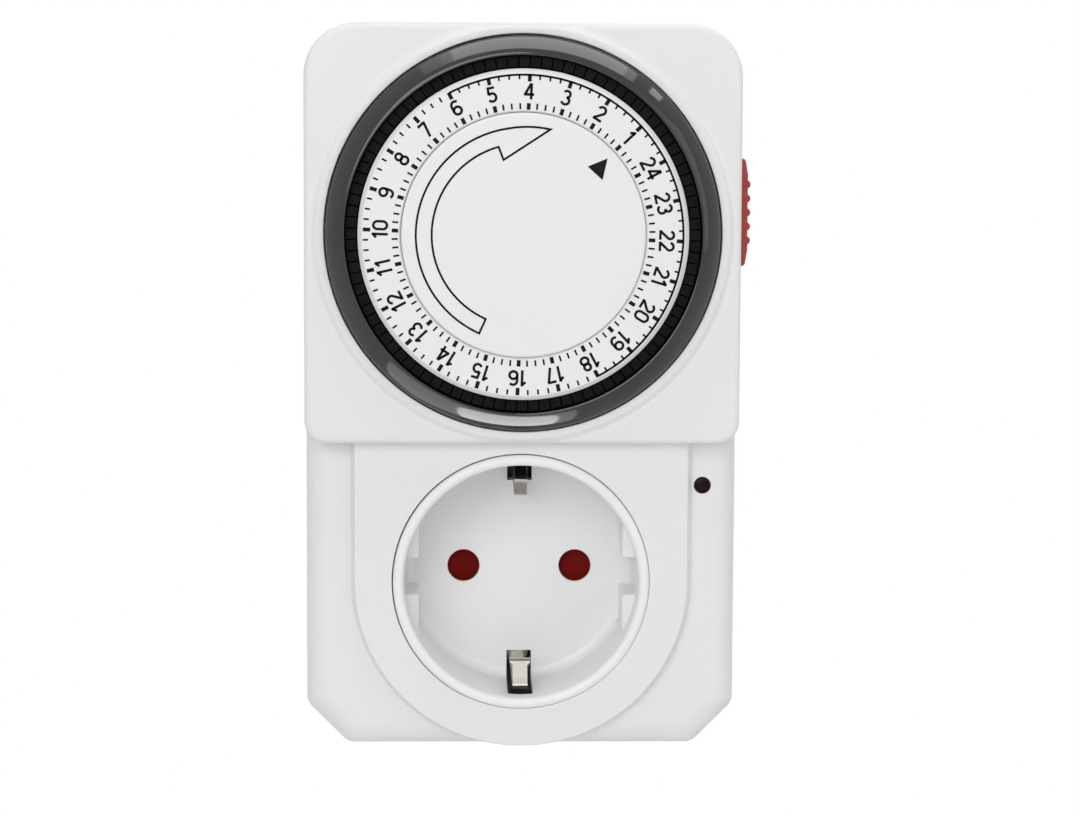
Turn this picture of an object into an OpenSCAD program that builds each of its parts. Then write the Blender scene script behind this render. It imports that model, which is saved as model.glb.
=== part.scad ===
// Plug-in 24-hour timer switch with a round-pin earthed socket.
// Every piece is drawn with X to the right, Y up and Z out of the wall towards the user, and stand()
// then turns it upright. The origin is the middle of the plug's face, between its two pins.

/* [Plug] */
// Height of the round plug boss behind the body
plug_h = 17; // [15:0.5:17.5]
// Diameter of the plug boss
plug_d = 37; // [36.4:0.1:37.4]
// Width of the plug boss across its flats
plug_flats = 32.4; // [32:0.1:33]
// Height of the guide ridge on each flat
plug_ridge = 5.2; // [4.6:0.1:5.6]
// Diameter of each plug pin
pin_d = 4.8; // [4.6:0.05:5]
// Length of each plug pin beyond the boss
pin_len = 19; // [17:0.5:19.5]
// Distance between the two pins
pin_gap = 19; // [18.6:0.1:19.4]

/* [Body] */
// Depth of the lower body from its back to its front plate
body_depth = 38; // [38:0.5:44]
// Distance from the socket axis down to the bottom edge
body_drop = 28.1; // [28.1:0.1:34]
// Wall thickness of both covers
wall = 2; // [1.8:0.1:2.2]
// Radius of the upper corners
corner_r = 8.5; // [6.5:0.5:9]
// Size of the 45 degree cut at the lower corners
corner_cut = 6.9; // [5:0.1:9]
// Radius of the lower body's soft front edges
soft_r = 4; // [2.5:0.5:4.5]
// Radius of the back edges
back_r = 2.4; // [1:0.2:3]
// Height of the rear cover's side walls above the back face
tray_h = 13; // [10:0.5:16]

/* [Dial block] */
// Height of the dial centre above the socket axis
dial_up = 58.1; // [58:0.1:60]
// How far the dial block stands out of the lower plate
block_rise = 5; // [4:0.25:5.5]
// Radius of the dial block's front edges
block_r = 1; // [0.8:0.2:1.8]
// Radius of the dial block's lower corners
block_corner_r = 3.7; // [2.6:0.1:5]
// Plastic left beside the dial opening
side_margin = 3.25; // [3:0.05:4]
// Plastic left above the dial opening
top_margin = 1.6; // [1.2:0.1:3]
// Plastic left below the dial opening
step_margin = 2.1; // [1.9:0.1:2.6]
// Width of the low collar round the dial opening
collar_w = 1.7; // [1.2:0.1:2]
// Height of that collar
collar_h = 0.8; // [0.4:0.1:1.2]
// Depth of the dial well's floor below the block's face
floor_drop = 3.5; // [3.5:0.1:4]
// Thickness of that floor
floor_t = 1.5; // [1.3:0.1:1.6]

/* [Dial] */
// Outer radius of the dial ring
ring_r = 32.2; // [32:0.1:33]
// Radial width of the dial ring
ring_w = 3.15; // [2.9:0.05:3.2]
// Radial width of the ring's sloping face
slope_w = 2.7; // [2.3:0.1:2.7]
// Radius of the slope's convex curve
slope_r = 8; // [6:0.5:12]
// Height of the scale face above the block's face
dial_rise = 4.5; // [4.2:0.1:5.5]
// How far the ring's crest stays below the scale face
crest_drop = 0.5; // [0.3:0.1:0.8]
// Gap between the ring and its opening
dial_gap = 0.3; // [0.2:0.05:0.4]
// Number of tappets, one for each quarter of an hour
tappets = 96; // [96:1:96]
// Radial width of a tappet
tappet_w = 1.7; // [1.4:0.1:1.7]
// Travel of a tappet when it is pushed in
tappet_travel = 1.6; // [1.2:0.1:1.6]
// Outer radius of the fixed centre disc
centre_r = 19.85; // [18:0.1:20.2]
// Size of the bevel round the scale disc
scale_bevel = 0.75; // [0.4:0.05:0.9]

/* [Socket] */
// Depth of the socket well
recess = 17.5; // [17.3:0.1:17.8]
// Radius of the socket well
well_r = 19.5; // [19.4:0.1:19.8]
// Thickness of the insert's round wall
insert_wall = 1.8; // [1.8:0.1:2.1]
// Radius of each pin hole
pin_hole_r = 2.7; // [2.6:0.05:2.8]
// Distance from the well's axis to the side guide ribs
rib_x = 17; // [16.9:0.1:17.2]
// How far the guide ribs start below the rim
rib_drop = 6; // [4:0.5:8]
// Height of the pocket in each guide rib
rib_pocket = 6.1; // [5.8:0.1:6.4]
// Width of the earth slots
earth_slot_w = 4.2; // [4:0.1:4.6]
// Half width of the U-shaped boss round the socket
boss_r = 28.1; // [26.5:0.1:28.6]
// How far that boss stands out of the lower plate
boss_rise = 2; // [1:0.25:3]

/* [Indicator] */
// Distance of the indicator to the right of the socket axis
lamp_x = 30.1; // [29.8:0.1:30.4]
// Height of the indicator above the socket axis
lamp_y = 16; // [14:0.5:18]
// Radius of the indicator hole
lamp_hole_r = 1.4; // [1:0.1:2]

/* [Override slider] */
// Length of the slider's grip
slider_len = 18; // [17.5:0.5:19]
// How far the grip stands out of the side wall
slider_rise = 2.55; // [2.4:0.05:3.2]
// Depth of the grip from front to back
slider_w = 9; // [8.5:0.25:9.5]
// Travel of the slider from timed to always on
slider_travel = 4; // [3.5:0.1:4]
// Height of the grip's middle above the dial centre
slider_up = 2.8; // [2.4:0.1:4]

/* [Movement] */
// Module of the fine gears
fine_m = 0.25; // [0.25:0.005:0.26]
// Module of the fourth wheel and the pinion that drives it
fourth_m = 0.32; // [0.315:0.005:0.325]
// Module of the clutch wheel and the pinion that drives it
clutch_m = 0.37; // [0.37:0.005:0.38]
// Module of the dial gear and its drive pinion
dial_m = 0.4; // [0.39:0.005:0.4]
// Radius of the motor can
motor_r = 16; // [15:0.25:16.5]
// Depth of the motor can
motor_len = 11.4; // [10.5:0.1:12]
// Thickness of the gear wheels
wheel_t = 1.2; // [1:0.1:1.2]
// Swing of the follower lever in degrees
follower_swing = 4.7; // [4.5:0.1:4.8]

/* [Hidden] */
$fn = 96;
cut = 1;

// clearances
fit_gap = 0.25;
run_gap = 0.04;
pin_fit = 0.03;

// levels out of the wall
rear_z = plug_h;
tray_z = rear_z + wall;
split_z = rear_z + tray_h;
plate_z = rear_z + body_depth;
boss_z = plate_z + boss_rise;
block_z = plate_z + block_rise;
floor_z = block_z - floor_drop;
floor_back_z = floor_z - floor_t;

// outline of the body
open_r = ring_r + dial_gap;
body_x = open_r + side_margin;
body_top = dial_up + open_r + top_margin;
step_y = dial_up - open_r - step_margin;
tub_r = open_r + 1.2;

// dial levels and radii
gear_z = floor_z + 0.5;
web_z = gear_z + wheel_t;
web_top_z = web_z + 1.2;
scale_z = block_z + dial_rise;
crest_z = scale_z - crest_drop;
ring_in = ring_r - ring_w;
slope_foot_z = block_z + 1.6;
flange_r = ring_r - 0.3;
tappet_out = ring_in - 0.2;
tappet_in = tappet_out - tappet_w;
scale_r = tappet_in - 0.25;
scale_t = 1.4;
stem_w = 1.1;
stem_gap = 0.1;
stem_z = web_z + 0.2;
head_z = web_top_z + tappet_travel + 0.05;
head_h = 1.25;
axle_r = 3;
axle_bore = 1.55;
axle_flange_r = 6;
axle_flange_t = 1.4;
axle_tip_z = scale_z - 1.7;
hub_r = 5.5;
night_from = 20;
night_to = 22;

// The scale: the hour H stands at this angle, counted clockwise from the top
pointer_a = 46;
hour_step = 15;
function hour_a(hour) = 62 + hour_step * (24 - hour);

// gears
ring_teeth = 120;
drive_teeth = 10;
fine_wheel = 80;
fine_pinion = 8;
fourth_wheel = 60;
fourth_pinion = 10;
clutch_wheel_teeth = 50;
clutch_pinion = 10;
function pitch_r(m, teeth) = m * teeth / 2;
function spacing(m, a, b) = m * (a + b) / 2;
function polar(r, a) = [r * cos(a), r * sin(a)];

// directions from one arbor to the next
drive_a = 225;
to_fourth_a = 0;
to_third_a = 0;
to_second_a = 100;
to_first_a = 165;
to_motor_a = 120;

drive_at = polar(spacing(dial_m, ring_teeth, -drive_teeth), drive_a);
fourth_at = drive_at + polar(spacing(clutch_m, clutch_wheel_teeth, clutch_pinion), to_fourth_a);
third_at = fourth_at + polar(spacing(fourth_m, fourth_wheel, fourth_pinion), to_third_a);
second_at = third_at + polar(spacing(fine_m, fine_wheel, fine_pinion), to_second_a);
first_at = second_at + polar(spacing(fine_m, fine_wheel, fine_pinion), to_first_a);
motor_at = first_at + polar(spacing(fine_m, fine_wheel, fine_pinion), to_motor_a);

arbor_r = 0.6;
drive_r = 1;
rotor_r = 0.75;
pinion_over = 2.6;
layer = 2.2;
plate_t = 1.2;
back_plate_t = 1.5;
front_plate_z = floor_back_z - axle_flange_t - 0.2 - plate_t;
boss_gap_z = front_plate_z + plate_t;
train_h = 12.7;
back_plate_z = front_plate_z - train_h - back_plate_t;
train_z = back_plate_z + back_plate_t;
first_z = train_z + 0.7;
second_z = first_z + layer;
third_z = second_z + layer;
fourth_z = third_z + layer;
clutch_z = fourth_z + layer;
clutch_hub_z = clutch_z - 0.3;
clutch_top_z = clutch_z + wheel_t + 0.2;
cone_h = 0.8;
collar_r = 2.2;
pole_t = 1.6;
motor_top_z = back_plate_z - pole_t;
motor_z = motor_top_z - motor_len;
can_t = 1;
screw_spots = [[8, 21.9], [17.5, -24.6], [-26.5, -8.1]];
plate_screw_r = 1.2;

// follower and switch, which stand under the pointer
tappet_mid = (tappet_in + tappet_out) / 2;
tip_at = polar(tappet_mid, 90 - pointer_a);
arm_len = 17.6;
pivot_y = tip_at[1] - arm_len;
pivot_z = floor_z - 6.5;
pivot_r = 0.9;
lever_w = 2.8;
lever_t = 1.6;
lever_back_z = pivot_z - 0.6;
lever_hub_r = 2;
nub_z = pivot_z - lever_hub_r - 0.3;
nub_y = pivot_y + 10;
tip_z = web_z - 0.15;
tip_r = 1.4;
blade_t = 0.3;
blade_z = nub_z - 0.1 - blade_t;
blade_w = 2.4;
blade_root_y = pivot_y - 3.4;
bead_r = 0.25;
blade_bead_y = blade_root_y + 0.05 + bead_r;
contact_y = pivot_y + 14;
contact_r = 1.3;
contact_gap = 1.1;
rivet_h = 1.1;
strip_t = 0.4;
fixed_z = blade_z - rivet_h - contact_gap - 0.9;
base_x = 3.6;
base_y = pivot_y - 11;
ear_y = pivot_y + 2.5;
ear_z = pivot_z + 2.2;

// slider
slider_mid_z = rear_z + 25.5;
slider_y = slider_up;
guide_t = 1.4;
guide_gap = 0.15;
guide_x = body_x - wall - guide_gap - guide_t;
guide_z0 = slider_mid_z - 4;
guide_z1 = pivot_z + 3.4;
guide_y0 = slider_y - 5;
guide_y1 = slider_y + 5;
finger_r = 1;
finger_y = pivot_y + 4.55;
finger_z = pivot_z + 1 + 0.15 + finger_r;
ramp_slope = tan(10);
shank_y = 4;
shank_z = 2;

// socket
rim_z = boss_z + 0.6;
well_z = boss_z - recess;
well_t = 2;
well_back_z = well_z - well_t;
insert_r = well_r + insert_wall;
insert_flange_r = insert_r + 2;
hole_r = insert_r + fit_gap;
rib_z = boss_z - rib_drop;
earth_y = 14.7;
earth_top_z = boss_z - 3;
frame_r = 13.4;
frame_z = well_back_z - 2.7;
retainer_t = 1.4;
retainer_z = frame_z - retainer_t;
shutter_t = 1.2;
shutter_z = well_back_z - 0.2 - shutter_t;
shutter_x = 12.5;
shutter_y = 3.3;
shutter_post_r = 1.2;
spring_wire = 0.25;
sleeve_in = pin_d / 2 + 0.05;
sleeve_out = sleeve_in + 0.6;
carrier_z = tray_z;
carrier_t = 2.4;
carrier_r = 19.2;
sleeve_z = carrier_z + 1;
sleeve_top = retainer_z - 0.2;
tower_r = 4.5;

// plug
pin_x = pin_gap / 2;
pin_r = pin_d / 2;
plug_wall = 2.1;
face_t = 3;
pin_flange_r = 3.6;
pin_collar = 0.3;
stub_r = 1.6;
eyelet_z = face_t + 1.5;
eyelet_t = 0.6;
clamp_z = eyelet_z + eyelet_t;
clamp_t = 2;
cup_r = plug_d / 2 - plug_wall;
spigot_r = plug_d / 2 - 1;
cup_x = plug_flats / 2 - plug_wall + 0.3;
strap_t = 0.6;

// bus bars
bar_t = 0.6;
bar_gap = 1.4;
live_z = carrier_z + carrier_t + bar_gap;
switched_z = live_z + bar_t + bar_gap;
wire_r = 0.6;
lead_z = switched_z + bar_t + wire_r + 1;
lamp_lead_z = lead_z + 1;
tower_z = switched_z - 0.4;
riser_y = 6.5;
bar_w = 2.6;
live_run_y = step_y + 6.5;
switched_run_y = step_y + 3;
slot_y = dial_up + base_y - 1.2;

// cover screws
post_x = body_x - max(6.25, corner_r - 1.05);
post_high = body_top - max(6.6, corner_r - 1.05);
post_low = 10.4 - body_drop;
post_r = 3;
post_z = rear_z + 5.1;
screw_r = 1.45;
pilot_r = 1.5;
head_r = 2.8;
head_h2 = 1.8;
sink_h = 3;
posts = [[-post_x, post_high], [post_x, post_high], [-post_x, post_low], [post_x, post_low]];

// ---- helpers ----

module stand() {
    rotate([90, 0, 0]) children();
}

module at_dial() {
    translate([0, dial_up, 0]) children();
}

module slab(lo, hi) {
    translate([0, 0, lo]) linear_extrude(hi - lo) children();
}

module rod(r, lo, hi) {
    translate([0, 0, lo]) cylinder(r = r, h = hi - lo);
}

module tube(r_out, r_in, lo, hi) {
    difference() {
        rod(r_out, lo, hi);
        rod(r_in, lo - cut, hi + cut);
    }
}

module box(x, y, z) {
    translate([x[0], y[0], z[0]]) cube([x[1] - x[0], y[1] - y[0], z[1] - z[0]]);
}

// a shape drawn in X and Z, drawn out along Y
module along_y(lo, hi) {
    translate([0, hi, 0]) rotate([90, 0, 0]) linear_extrude(hi - lo) children();
}

// a shape drawn in Y and Z, drawn out along X
module along_x(lo, hi) {
    translate([lo, 0, 0]) rotate([90, 0, 90]) linear_extrude(hi - lo) children();
}

module both_ways() {
    children();
    mirror([0, 1, 0]) children();
}

// a rectangle with one radius for its lower corners and another for its upper ones
module rounded(x, y, r_low, r_high) {
    translate([x[0], y[0] + r_low]) square([x[1] - x[0], y[1] - y[0] - r_low - r_high]);
    translate([x[0] + r_low, y[0]]) square([x[1] - x[0] - 2 * r_low, r_low + cut]);
    translate([x[0] + r_high, y[1] - r_high - cut]) square([x[1] - x[0] - 2 * r_high, r_high + cut]);
    for (px = [x[0] + r_low, x[1] - r_low]) {
        translate([px, y[0] + r_low]) circle(r_low);
    }
    for (px = [x[0] + r_high, x[1] - r_high]) {
        translate([px, y[1] - r_high]) circle(r_high);
    }
}

// ---- covers ----

// the body's front outline, inset by a wall
module body_outline(inset) {
    x = body_x - inset;
    top = body_top - inset;
    bottom = -body_drop + inset;
    r = corner_r - inset;
    bend = corner_cut - inset * (2 - sqrt(2));
    intersection() {
        union() {
            translate([-x, bottom]) square([2 * x, top - bottom - r]);
            translate([r - x, top - r - cut]) square([2 * (x - r), r + cut]);
            for (side = [-1, 1]) {
                translate([side * (x - r), top - r]) circle(r);
            }
        }
        polygon([[-x - cut, bottom + bend + cut], [-x + bend + cut, bottom - cut],
            [x - bend - cut, bottom - cut], [x + cut, bottom + bend + cut],
            [x + cut, top + cut], [-x - cut, top + cut]]);
    }
}

// the section across the body, with soft front edges
module soft_section(r, back, front) {
    translate([-body_x, back]) square([2 * body_x, front - back - r]);
    translate([r - body_x, back]) square([2 * (body_x - r), front - back]);
    for (side = [-1, 1]) {
        translate([side * (body_x - r), front - r]) circle(r);
    }
}

// the section from bottom to top, with one soft front edge at each end
module soft_side(y, r, back, front) {
    translate([y[0], back]) square([y[1] - y[0], front - back - r]);
    translate([y[0] + r, back]) square([y[1] - y[0] - 2 * r, front - back]);
    for (py = [y[0] + r, y[1] - r]) {
        translate([py, front - r]) circle(r);
    }
}

module lower_form() {
    intersection() {
        slab(split_z, plate_z) body_outline(0);
        along_y(-body_drop - cut, body_top + cut) soft_section(soft_r, split_z - cut, plate_z);
        along_x(-body_x - cut, body_x + cut) soft_side([-body_drop, body_top], soft_r, split_z - cut, plate_z);
    }
}

module block_outline(inset) {
    x = body_x - inset;
    rounded([-x, x], [step_y + inset, body_top - inset], block_corner_r - inset, corner_r - inset);
}

module block_form() {
    back = plate_z - soft_r - cut;
    intersection() {
        slab(back, block_z) block_outline(0);
        along_y(step_y - cut, body_top + cut) soft_section(block_r, back - cut, block_z);
        along_x(-body_x - cut, body_x + cut) soft_side([step_y, body_top], block_r, back - cut, block_z);
    }
}

// the U-shaped boss round the socket
module boss_outline(inset) {
    r = boss_r - inset;
    circle(r);
    translate([-r, 0]) square([2 * r, step_y + cut]);
}

module collar() {
    intersection() {
        translate([0, 0, collar_h]) block_form();
        at_dial() tube(open_r + collar_w, open_r - cut, block_z - block_r, block_z + collar_h + cut);
    }
}

module screw_posts() {
    for (p = posts) {
        translate(p) rod(post_r, post_z, (p[1] > step_y ? block_z : plate_z) - wall + cut / 2);
    }
}

module plate_bosses() {
    for (p = screw_spots) {
        translate(p) rod(post_r, boss_gap_z, floor_z - floor_t / 2);
    }
}

// ledges inside the side wall that hold the slider's guide
module slider_rails() {
    in_x = guide_x - 0.2;
    for (z = [[guide_z0 - 1.7, guide_z0 - 0.2], [guide_z1 + 0.2, floor_back_z + cut]]) {
        box([in_x - 1.1, body_x - cut], [guide_y0 - 1, finger_y - 2.2], z);
    }
    box([in_x - 1.1, in_x], [guide_y0 - 1, finger_y - 2.2], [guide_z0 - 1.7, guide_z0 + 1]);
}

module front_cover() {
    color("whitesmoke") difference() {
        union() {
            difference() {
                union() {
                    lower_form();
                    block_form();
                    slab(plate_z - cut, boss_z) boss_outline(0);
                }
                slab(split_z - cut, plate_z - wall) body_outline(wall);
                slab(plate_z - wall - cut, block_z - wall) block_outline(wall);
                slab(plate_z - wall - cut, boss_z - wall) boss_outline(wall);
            }
            at_dial() rod(tub_r, floor_back_z, block_z - block_r);
            collar();
            screw_posts();
            at_dial() plate_bosses();
            at_dial() slider_rails();
        }
        at_dial() {
            rod(open_r, floor_z, block_z + 2 * cut);
            rod(axle_r + pin_fit, floor_back_z - cut, floor_z + cut);
            translate(drive_at)
                rod(pitch_r(dial_m, drive_teeth) + dial_m + fit_gap, floor_back_z - cut, floor_z + cut);
            box([tip_at[0] - 2.1, tip_at[0] + 2.1], [tip_at[1] - 2.2, tip_at[1] + 3.2],
                [floor_back_z - cut, floor_z + cut]);
            for (p = screw_spots) {
                translate(p) rod(plate_screw_r + pin_fit, boss_gap_z - cut, floor_z - 0.4);
            }
            box([body_x - wall - 2 * cut, body_x + cut],
                [slider_y - shank_y - fit_gap, slider_y + shank_y + slider_travel + fit_gap],
                [slider_mid_z - shank_z - fit_gap, slider_mid_z + shank_z + fit_gap]);
        }
        rod(hole_r, plate_z - wall - cut, boss_z + cut);
        translate([lamp_x, lamp_y, 0]) rod(lamp_hole_r, plate_z - wall - cut, plate_z + cut);
        for (p = posts) {
            translate(p) rod(pilot_r, post_z - cut, post_z + 14);
        }
    }
}

module plug_outline(inset) {
    r = plug_d / 2 - inset;
    x = plug_flats / 2 - inset;
    intersection() {
        circle(r);
        union() {
            translate([-x, -r - cut]) square([2 * x, 2 * (r + cut)]);
            translate([-r - cut, -plug_ridge / 2]) square([2 * (r + cut), plug_ridge]);
        }
    }
}

module cup_outline() {
    intersection() {
        circle(cup_r);
        translate([-cup_x, -cup_r - cut]) square([2 * cup_x, 2 * (cup_r + cut)]);
    }
}

module rear_cover() {
    color("whitesmoke") difference() {
        union() {
            difference() {
                intersection() {
                    slab(rear_z, split_z) body_outline(0);
                    translate([0, 0, rear_z + split_z]) mirror([0, 0, 1]) {
                        along_y(-body_drop - cut, body_top + cut) soft_section(back_r, rear_z - cut, split_z);
                    }
                    translate([0, 0, rear_z + split_z]) mirror([0, 0, 1]) {
                        along_x(-body_x - cut, body_x + cut)
                            soft_side([-body_drop, body_top], back_r, rear_z - cut, split_z);
                    }
                }
                slab(tray_z, split_z + cut) body_outline(wall);
            }
            locating_lip();
            for (p = posts) {
                translate(p) rod(post_r + 1.1, rear_z + cut / 2, post_z - 0.1);
            }
            at_dial() translate(motor_at) tube(motor_r - 4, motor_r - 5.5, rear_z + cut, motor_z);
        }
        rod(spigot_r + pin_fit, rear_z - cut, tray_z + cut);
        for (p = posts) {
            translate(p) {
                rod(head_r + 0.2, rear_z - cut, rear_z + sink_h);
                rod(screw_r + 0.15, rear_z, post_z + cut);
            }
        }
    }
}

// the round plug: a cup with a face that carries the pins, and a spigot that sits in the rear cover
module plug_body() {
    color("whitesmoke") {
        difference() {
            union() {
                slab(0, rear_z) plug_outline(0);
                rod(spigot_r, rear_z - cut / 2, tray_z);
            }
            slab(face_t, tray_z + cut) cup_outline();
            for (side = [-1, 1]) {
                translate([side * pin_x, 0, 0]) rod(pin_r + pin_collar + pin_fit, -cut, face_t + cut);
            }
            both_ways() box([-3, 3], [cup_r - 1.5, plug_d / 2 + cut], [3.5, 14.5]);
        }
        clamp_post();
    }
}

// a thin wall inside the joint, which lines up the two covers
module locating_lip() {
    difference() {
        union() {
            slab(split_z - 3, split_z - 0.5) body_outline(wall - cut / 2);
            slab(split_z - 1, split_z + 2) body_outline(wall + 0.15);
        }
        slab(split_z - 3 - cut, split_z + 3) body_outline(wall + 1);
    }
}

module clamp_post() {
    tube(2.6, 1.25, face_t - cut / 2, clamp_z);
}

module cover_screws() {
    color("silver") for (p = posts) {
        translate(p) {
            rod(screw_r, rear_z + sink_h - cut, post_z + 12);
            difference() {
                rod(head_r, rear_z + sink_h - head_h2, rear_z + sink_h);
                box([-1.8, 1.8], [-0.4, 0.4], [rear_z, rear_z + sink_h - head_h2 + 0.8]);
                box([-0.4, 0.4], [-1.8, 1.8], [rear_z, rear_z + sink_h - head_h2 + 0.8]);
            }
        }
    }
}

// ---- socket ----

module guide_ribs() {
    difference() {
        intersection() {
            rod(well_r + 0.3, well_z - cut / 2, rib_z);
            union() {
                box([rib_x, insert_r], [-well_r, well_r], [well_z - cut, boss_z]);
                box([-insert_r, -rib_x], [-well_r, well_r], [well_z - cut, boss_z]);
            }
        }
        box([-insert_r, insert_r], [-rib_pocket / 2, rib_pocket / 2], [well_z, boss_z]);
    }
}

module socket_insert() {
    lip_r = insert_wall / 2;
    color("white") difference() {
        union() {
            rotate_extrude() {
                translate([well_r, well_back_z]) square([insert_wall, rim_z - lip_r - well_back_z]);
                translate([well_r + lip_r, rim_z - lip_r]) circle(lip_r);
            }
            rod(well_r + insert_wall / 2, well_back_z, well_z);
            tube(insert_flange_r, insert_r - cut / 2, boss_z - wall - 1.5, boss_z - wall);
            guide_ribs();
            tube(frame_r + 1.2, frame_r, frame_z, well_back_z + cut / 2);
            rod(shutter_post_r, frame_z, well_back_z + cut / 2);
        }
        for (side = [-1, 1]) {
            translate([side * pin_x, 0, 0]) rod(pin_hole_r, well_back_z - cut, well_z + cut);
        }
        both_ways() box([-earth_slot_w / 2, earth_slot_w / 2], [earth_y, insert_flange_r + cut],
            [well_back_z - cut, earth_top_z]);
    }
}

// a bar on a centre post: its two wings close the pin holes
module safety_shutter() {
    color("darkred") difference() {
        union() {
            slab(shutter_z, shutter_z + shutter_t) {
                intersection() {
                    translate([-shutter_x, -shutter_y]) square([2 * shutter_x, 2 * shutter_y]);
                    circle(shutter_x);
                }
            }
            rod(2.6, shutter_z - 0.3, shutter_z + shutter_t);
        }
        rod(shutter_post_r + run_gap, shutter_z - cut, well_back_z);
    }
}

module shutter_spring() {
    low = frame_z + spring_wire + 0.1;
    color("silver") {
        for (i = [0, 1]) {
            translate([0, 0, low + i * 1.6 * spring_wire])
                rotate_extrude() translate([2.2, 0]) circle(spring_wire, $fn = 24);
        }
        translate([2.2, 0, low]) rotate([-90, 0, 0]) cylinder(r = spring_wire * 0.9, h = 7, $fn = 24);
    }
}

module shutter_retainer() {
    color("ivory") difference() {
        rod(frame_r + 1.2, retainer_z, frame_z);
        for (side = [-1, 1]) {
            translate([side * pin_x, 0, 0]) rod(pin_hole_r + 0.2, retainer_z - cut, frame_z + cut);
        }
    }
}

// a slotted brass sleeve that grips a plug pin
module sleeve() {
    difference() {
        rod(sleeve_out, sleeve_z, sleeve_top);
        rod(sleeve_in, sleeve_z + 1.5, sleeve_top + cut);
        box([-sleeve_out - cut, sleeve_out + cut], [-0.4, 0.4], [sleeve_z + 5, sleeve_top + cut]);
        rod(stub_r + pin_fit, sleeve_z - cut, sleeve_z + 2);
    }
}

module contact_live() {
    color("goldenrod") translate([-pin_x, 0, 0]) sleeve();
}

module contact_neutral() {
    color("goldenrod") translate([pin_x, 0, 0]) sleeve();
}

module contact_carrier() {
    color("dimgray") difference() {
        union() {
            rod(carrier_r, carrier_z, carrier_z + carrier_t);
            for (side = [-1, 1]) {
                translate([side * pin_x, 0, 0]) rod(tower_r, carrier_z + carrier_t - cut, tower_z);
            }
        }
        for (side = [-1, 1]) {
            translate([side * pin_x, 0, 0]) {
                rod(sleeve_out + 0.05, sleeve_z, tower_z + cut);
                rod(stub_r + 0.2, carrier_z - cut, tower_z);
            }
        }
        rod(1.25, carrier_z - cut, carrier_z + carrier_t + cut);
        box([-pin_x - bar_w / 2 - 0.2, -pin_x + bar_w / 2 + 0.2], [riser_y - 0.2, riser_y + bar_t + 0.2],
            [carrier_z - cut, carrier_z + carrier_t + cut]);
    }
}

// one earth clip, in Y and Z: outer arm, front bend, slanting contact and return
module earth_clip() {
    arm_y = insert_r - insert_wall / 2 - strap_t;
    front = earth_top_z - 0.9;
    crest = [earth_y - 0.2, front - 6.4];
    polygon([[arm_y + strap_t, carrier_z + carrier_t], [arm_y + strap_t, front],
        [arm_y, front + strap_t], [arm_y - 1, front + strap_t - 0.1],
        [crest[0], crest[1] + 0.3], [crest[0], crest[1] - 0.4], [crest[0] + 1.4, front - 11.6],
        [crest[0] + 2, front - 11.4], [crest[0] + 0.8, crest[1] - 0.1], [arm_y - 0.6, front - 0.2],
        [arm_y, front - 0.4], [arm_y, carrier_z + carrier_t]]);
}

module earth_strap() {
    arm_y = insert_r - insert_wall / 2;
    color("silver") difference() {
        union() {
            along_x(-1.25, 1.25) {
                earth_clip();
                mirror([1, 0]) earth_clip();
            }
            box([-2, 2], [-arm_y, arm_y], [carrier_z + carrier_t, carrier_z + carrier_t + strap_t]);
        }
        rod(1.25, carrier_z + carrier_t - cut, carrier_z + carrier_t + 2 * cut);
    }
}

// one plug clip, in Y and Z, with its contact bulging out through the boss wall
module plug_clip() {
    y = cup_r - 0.2;
    out = plug_d / 2 - 0.2;
    polygon([[y, carrier_z], [y, 13], [out, 10.5], [out, 7.5], [y, 5], [y, 4],
        [y - strap_t, 4], [y - strap_t, 5.2], [out - strap_t, 7.8], [out - strap_t, 10.2],
        [y - strap_t, 12.8], [y - strap_t, carrier_z]]);
}

module plug_earth_strap() {
    y = cup_r - 0.2;
    color("silver") difference() {
        union() {
            along_x(-2.5, 2.5) {
                plug_clip();
                mirror([1, 0]) plug_clip();
            }
            box([-2.5, 2.5], [-y, y], [carrier_z - strap_t, carrier_z]);
        }
        rod(1.25, carrier_z - 2 * cut, carrier_z + cut);
    }
}

module earth_rivet() {
    top = carrier_z + carrier_t + strap_t;
    color("silver") {
        rod(1.2, carrier_z - strap_t - 0.3, top + 0.3);
        rod(2.2, carrier_z - strap_t - 0.6, carrier_z - strap_t);
        rod(2.2, top, top + strap_t);
    }
}

// ---- plug ----

// a pin with a rounded tip, a flange inside the boss and a stub for its bar
module plug_pin(flange_t, stub_top) {
    rotate_extrude() {
        translate([0, pin_r - pin_len]) square([pin_r, pin_len - pin_r + cut]);
        square([pin_r + pin_collar, face_t + cut / 2]);
        intersection() {
            translate([0, pin_r - pin_len]) circle(pin_r);
            translate([0, -pin_len]) square([pin_r, pin_r + cut]);
        }
        translate([0, face_t]) square([pin_flange_r, flange_t]);
        translate([0, face_t]) square([stub_r, stub_top - face_t]);
    }
}

module plug_pin_live() {
    color("silver") translate([-pin_x, 0, 0]) plug_pin(eyelet_z - face_t, clamp_z + clamp_t + 0.6);
}

module plug_pin_neutral() {
    color("silver") translate([pin_x, 0, 0]) plug_pin(clamp_z - face_t, sleeve_z + 1.5);
}

module pin_clamp() {
    color("dimgray") difference() {
        box([-13, 13], [-4.2, 4.2], [clamp_z, clamp_z + clamp_t]);
        for (side = [-1, 1]) {
            translate([side * pin_x, 0, 0]) rod(stub_r + 0.1, clamp_z - cut, clamp_z + clamp_t + cut);
        }
        rod(1.3, clamp_z - cut, clamp_z + clamp_t + cut);
    }
}

module clamp_screw() {
    color("silver") {
        rod(1.2, face_t + 0.3, clamp_z + clamp_t + 0.5);
        rod(2.3, clamp_z + clamp_t, clamp_z + clamp_t + 1.4);
    }
}

// ---- dial ----

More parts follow.
